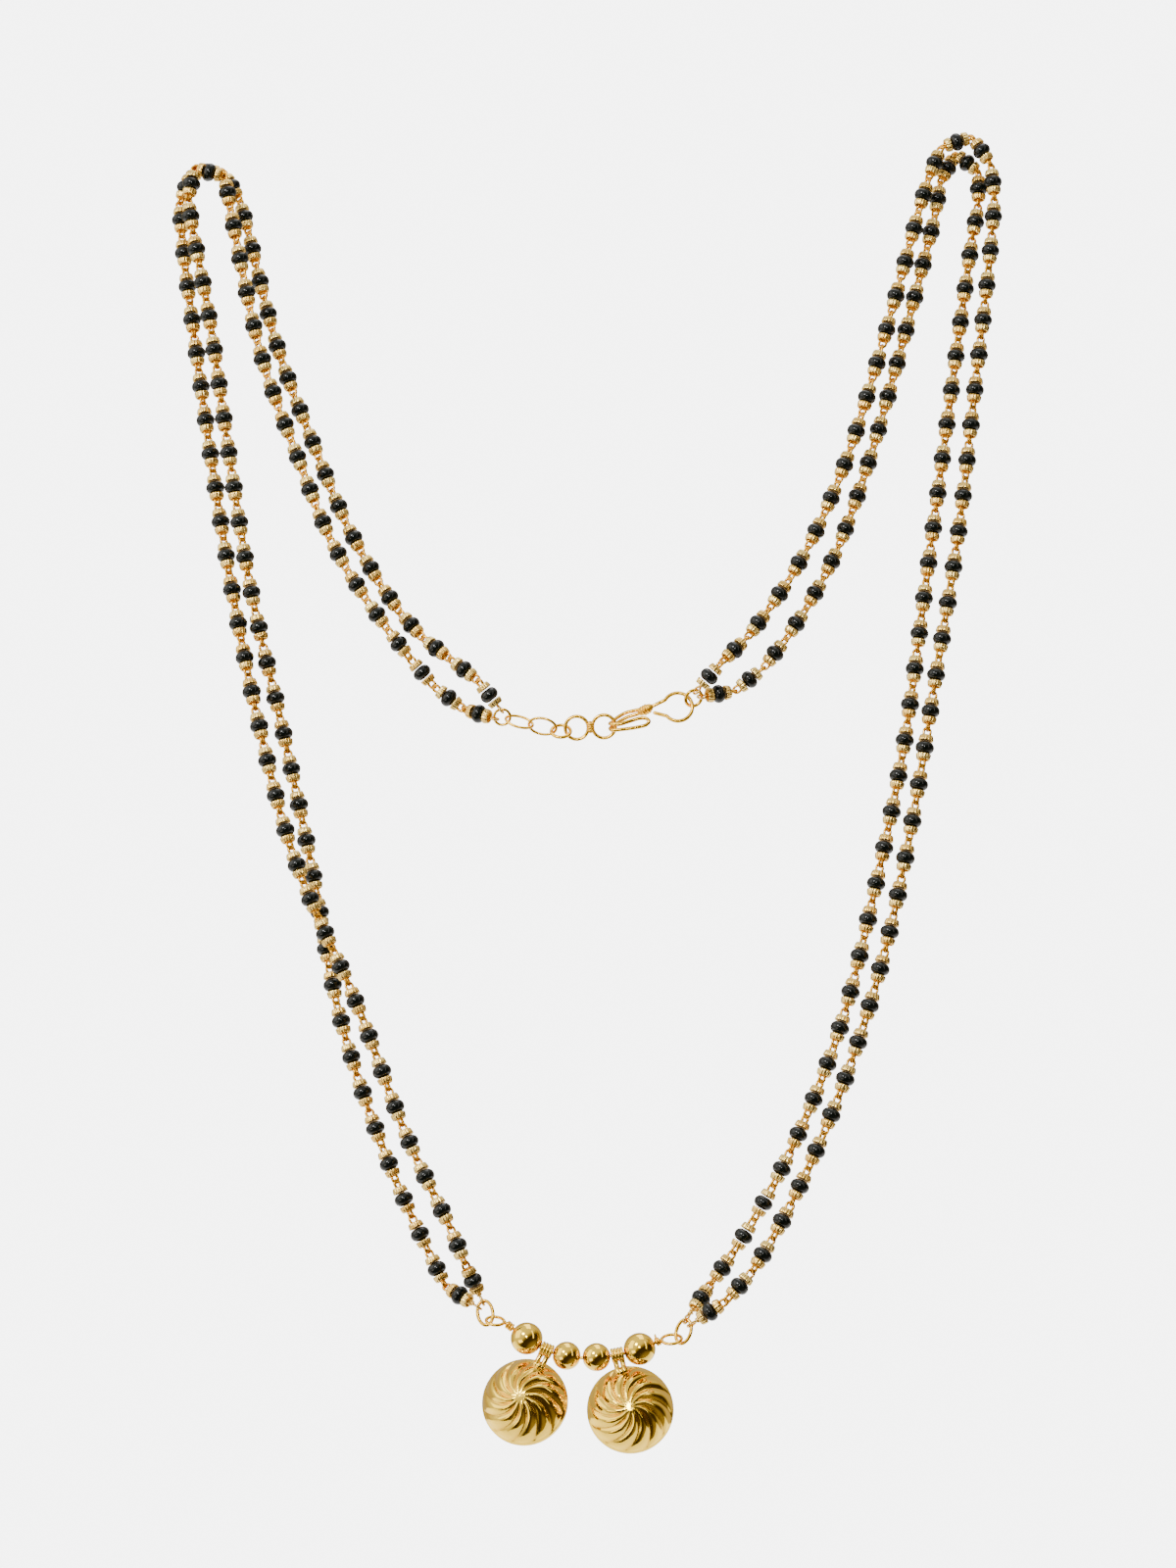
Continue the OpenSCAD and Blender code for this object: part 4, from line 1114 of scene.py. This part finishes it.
class MANGALSUTRA_OT_hook(bpy.types.Operator):
    """Adds the hook: a doubled wire, a wound neck and a round end"""

    bl_idname = "mangalsutra.hook"
    bl_label = "Hook"

    def execute(self, context):
        c = in_mm(context.scene.mangalsutra_clasp)
        shape = Shape()
        bends = c.hook_len * np.array(HOOK_BENDS)
        shape.add(*tube(rounded(bends, 6), c.hook_wire, 14, first=Z))
        stem, middle, tip = c.hook_len * np.array(ROUND_END)
        turns = np.radians(np.linspace(150, -140, 60))
        ring = np.column_stack([np.cos(turns), np.zeros(60), np.sin(turns)])
        ring = middle + ROUND_END_WIDTH * c.hook_len / 2 * ring
        shape.add(*tube(np.concatenate([[stem], ring, [tip]]), c.hook_wire, 14, first=Y))
        # Turns wound round both wires of the neck, and the solder under them; the solder gets painted shade,
        # the turns a little
        start, stop = c.hook_len * np.array(HOOK_NECK)
        out = unit(stop - start)
        r = 2.9 * c.hook_wire / 2 - NECK_PRESS
        coil = helix(r, 0.96 * r, 0.18, np.linalg.norm(stop - start) - 0.18, 3, 72)
        shape.add(*moved(tube(coil, NECK_WIRE, 12, unpolished_and_shade=0.1), start, basis(out, Y)))
        core = np.array([start + 0.1 * out, (start + stop) / 2, stop - 0.1 * out])
        shape.add(*tube(core, 2.2 * c.hook_wire, 16, unpolished_and_shade=0.6))
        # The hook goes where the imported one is
        points = np.concatenate(shape.points)
        step = cad_middle("clasp_hook") - (points.min(0) + points.max(0)) / 2
        for part in shape.points:
            part += step
        shape.build("hook_bent_wire", finish("wire"), "necklace", "clasp_hook")
        return {"FINISHED"}


# Stage


class MANGALSUTRA_OT_camera(bpy.types.Operator):
    """Adds the camera at the photograph's viewing angle"""

    bl_idname = "mangalsutra.camera"
    bl_label = "Camera"

    def execute(self, context):
        g = context.scene.mangalsutra_stage
        data = bpy.data.cameras.new("camera")
        data.sensor_fit = "VERTICAL"
        data.sensor_height = 24
        data.lens = g.camera_lens
        data.clip_start, data.clip_end = 0.02, 20
        camera = bpy.data.objects.new("camera", data)
        camera.location = g.camera_at
        camera.rotation_euler = (math.pi / 2 + g.camera_pitch, 0, 0)
        context.scene.collection.objects.link(camera)
        context.scene.camera = camera
        return {"FINISHED"}


# Edges of the floor to both sides, in front and behind, in metres; it doesn't reach to the front, where
# the cups would mirror it
FLOOR_SIDE, FLOOR_FRONT, FLOOR_BACK = 1.0, -0.03, 1.6


class MANGALSUTRA_OT_stage(bpy.types.Operator):
    """Adds the pale floor, the softboxes and the pale surroundings"""

    bl_idname = "mangalsutra.stage"
    bl_label = "Floor and light"

    def execute(self, context):
        g = context.scene.mangalsutra_stage
        floor_mesh = bpy.data.meshes.new("floor")
        front = [(x, FLOOR_FRONT, g.floor_z) for x in (-FLOOR_SIDE, FLOOR_SIDE)]
        back = [(x, FLOOR_BACK, g.floor_z) for x in (FLOOR_SIDE, -FLOOR_SIDE)]
        floor_mesh.from_pydata(front + back, [], [(0, 1, 2, 3)])
        floor_mesh.materials.append(pale_floor("matt_white_board", context.scene.mangalsutra_finish.floor))
        floor = bpy.data.objects.new("floor", floor_mesh)
        context.scene.collection.objects.link(floor)
        floor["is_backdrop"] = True
        middle = (0.062, 0, -0.12)
        # Name, place, what it faces, width and height in metres, power, colour
        softboxes = (
            ("key_softbox", (-0.20, -0.52, 0.10), middle, 0.14, 0.14, g.key_power, "#FFFFFF"),
            ("broad_softbox", (-0.50, -0.20, 0.10), middle, 0.45, 0.60, g.broad_power, "#FFFBF2"),
            ("strip_softbox", (0.50, -0.38, 0.05), middle, 0.07, 0.60, g.strip_power, "#FFF6E8"),
            ("top_softbox", (0.12, 0.02, 0.50), middle, 0.60, 0.30, g.top_power, "#FFFFFF"),
            ("low_softbox", (-0.30, -0.30, -0.40), middle, 0.26, 0.16, g.low_power, "#FFF2DC"),
            ("front_softbox", (0.03, -0.62, -0.12), middle, 0.09, 0.09, g.front_power, "#FFFFFF"),
            # Low over the floor and facing down, so that it lights nothing else
            ("floor_wash", (0, 0.85, g.floor_z + 0.16), (0, 0.85, -1), 2.0, 1.5, g.floor_power, "#FFFFFF"),
        )
        for name, at, aim, wide, high, watts, colour in softboxes:
            light = bpy.data.lights.new(name, "AREA")
            light.shape, light.size, light.size_y = "RECTANGLE", wide, high
            light.energy, light.color = watts, linear(colour)[:3]
            box = bpy.data.objects.new(name, light)
            box.location = at
            box.rotation_euler = (Vector(aim) - Vector(at)).to_track_quat("-Z", "Y").to_euler()
            context.scene.collection.objects.link(box)
        self.surround(context)
        return {"FINISHED"}

    def surround(self, context):
        """White for the camera, and for reflections a pale room with a dark corner in front."""
        world = bpy.data.worlds.new("pale_room")
        world.use_nodes = True
        world.node_tree.nodes.clear()
        ray = add_node(world, "ShaderNodeLightPath")
        place = add_node(world, "ShaderNodeTexCoord")
        # In front, pale at the upper left and dark at the lower right
        tilt = add_node(
            world, "ShaderNodeVectorMath", [(0, place, "Generated")],
            operation="DOT_PRODUCT", in_1=(-0.6, 0.1, 0.79),
        )
        side = add_node(world, "ShaderNodeMapRange", [("Value", tilt, "Value")], in_1=-1.0, in_2=1.0)
        front = add_node(world, "ShaderNodeValToRGB", [("Fac", side, "Result")])
        stops = (
            (0.0, "#8A7B64"), (0.14, "#3A3022"), (0.36, "#2A2217"),
            (0.47, "#8C806E"), (0.60, "#DDD8CE"), (1.0, "#F4F2EE"),
        )
        for at, code in stops[1:-1]:
            front.color_ramp.elements.new(at)
        for element, (at, code) in zip(front.color_ramp.elements, stops):
            element.position, element.color = at, linear(code)
        # Behind, an even warm tone, which keeps the edges of wires and balls from fading into the white
        parts = add_node(world, "ShaderNodeSeparateXYZ", [("Vector", place, "Generated")])
        depth = add_node(
            world, "ShaderNodeMapRange", [("Value", parts, "Y")],
            interpolation_type="SMOOTHSTEP", in_1=0.05, in_2=0.55,
        )
        all_round = add_node(
            world, "ShaderNodeMix", [(0, depth, "Result"), (6, front, "Color")], data_type="RGBA",
            in_7=linear("#BDB09A"),
        )
        room = add_node(world, "ShaderNodeBackground", [("Color", all_round, 2)], in_Strength=1.35)
        white = add_node(world, "ShaderNodeBackground", in_Color=linear("#FFFFFF"), in_Strength=6.0)
        both = add_node(
            world, "ShaderNodeMixShader",
            [(0, ray, "Is Camera Ray"), (1, room, "Background"), (2, white, "Background")],
        )
        add_node(world, "ShaderNodeOutputWorld", [("Surface", both, "Shader")])
        context.scene.world = world


class MANGALSUTRA_PT_panel(bpy.types.Panel):
    """Lists the sizes, the finishes and the pieces"""

    bl_idname = "MANGALSUTRA_PT_panel"
    bl_label = "Mangalsutra"
    bl_space_type = "VIEW_3D"
    bl_region_type = "UI"
    bl_category = "Mangalsutra"

    def draw(self, context):
        for operator in PIECES:
            self.layout.operator(operator.bl_idname)
        for group in SETTINGS:
            box = self.layout.box()
            box.label(text=group)
            settings = getattr(context.scene, group)
            for key in settings.bl_rna.properties.keys():
                if key not in ("rna_type", "name"):
                    box.prop(settings, key)


PIECES = (
    MANGALSUTRA_OT_camera,
    MANGALSUTRA_OT_beads,
    MANGALSUTRA_OT_chains,
    MANGALSUTRA_OT_pendant_wire,
    MANGALSUTRA_OT_balls,
    MANGALSUTRA_OT_cups,
    MANGALSUTRA_OT_rings,
    MANGALSUTRA_OT_figure_eight,
    MANGALSUTRA_OT_hook,
    MANGALSUTRA_OT_stage,
)
SETTINGS = {
    "mangalsutra_strands": StrandSettings,
    "mangalsutra_pendant": PendantSettings,
    "mangalsutra_clasp": ClaspSettings,
    "mangalsutra_finish": FinishSettings,
    "mangalsutra_stage": StageSettings,
}


def register():
    for group in SETTINGS.values():
        bpy.utils.register_class(group)
    for operator in PIECES:
        bpy.utils.register_class(operator)
    bpy.utils.register_class(MANGALSUTRA_PT_panel)
    for name, group in SETTINGS.items():
        setattr(bpy.types.Scene, name, bpy.props.PointerProperty(type=group))


def unregister():
    for name in SETTINGS:
        delattr(bpy.types.Scene, name)
    bpy.utils.unregister_class(MANGALSUTRA_PT_panel)
    for operator in reversed(PIECES):
        bpy.utils.unregister_class(operator)
    for group in SETTINGS.values():
        bpy.utils.unregister_class(group)


def main():
    register()
    bpy.ops.mangalsutra.camera()
    bpy.ops.mangalsutra.beads()
    bpy.ops.mangalsutra.chains()
    bpy.ops.mangalsutra.pendant_wire()
    bpy.ops.mangalsutra.balls()
    bpy.ops.mangalsutra.cups()
    bpy.ops.mangalsutra.rings()
    bpy.ops.mangalsutra.figure_eight()
    bpy.ops.mangalsutra.hook()
    bpy.ops.mangalsutra.stage()
    boxes = {"cad": CAD_BOX, "visual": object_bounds()}
    boxes = {key: [[float(v) for v in corner] for corner in box] for key, box in boxes.items()}


if __name__ == "__main__":
    main()
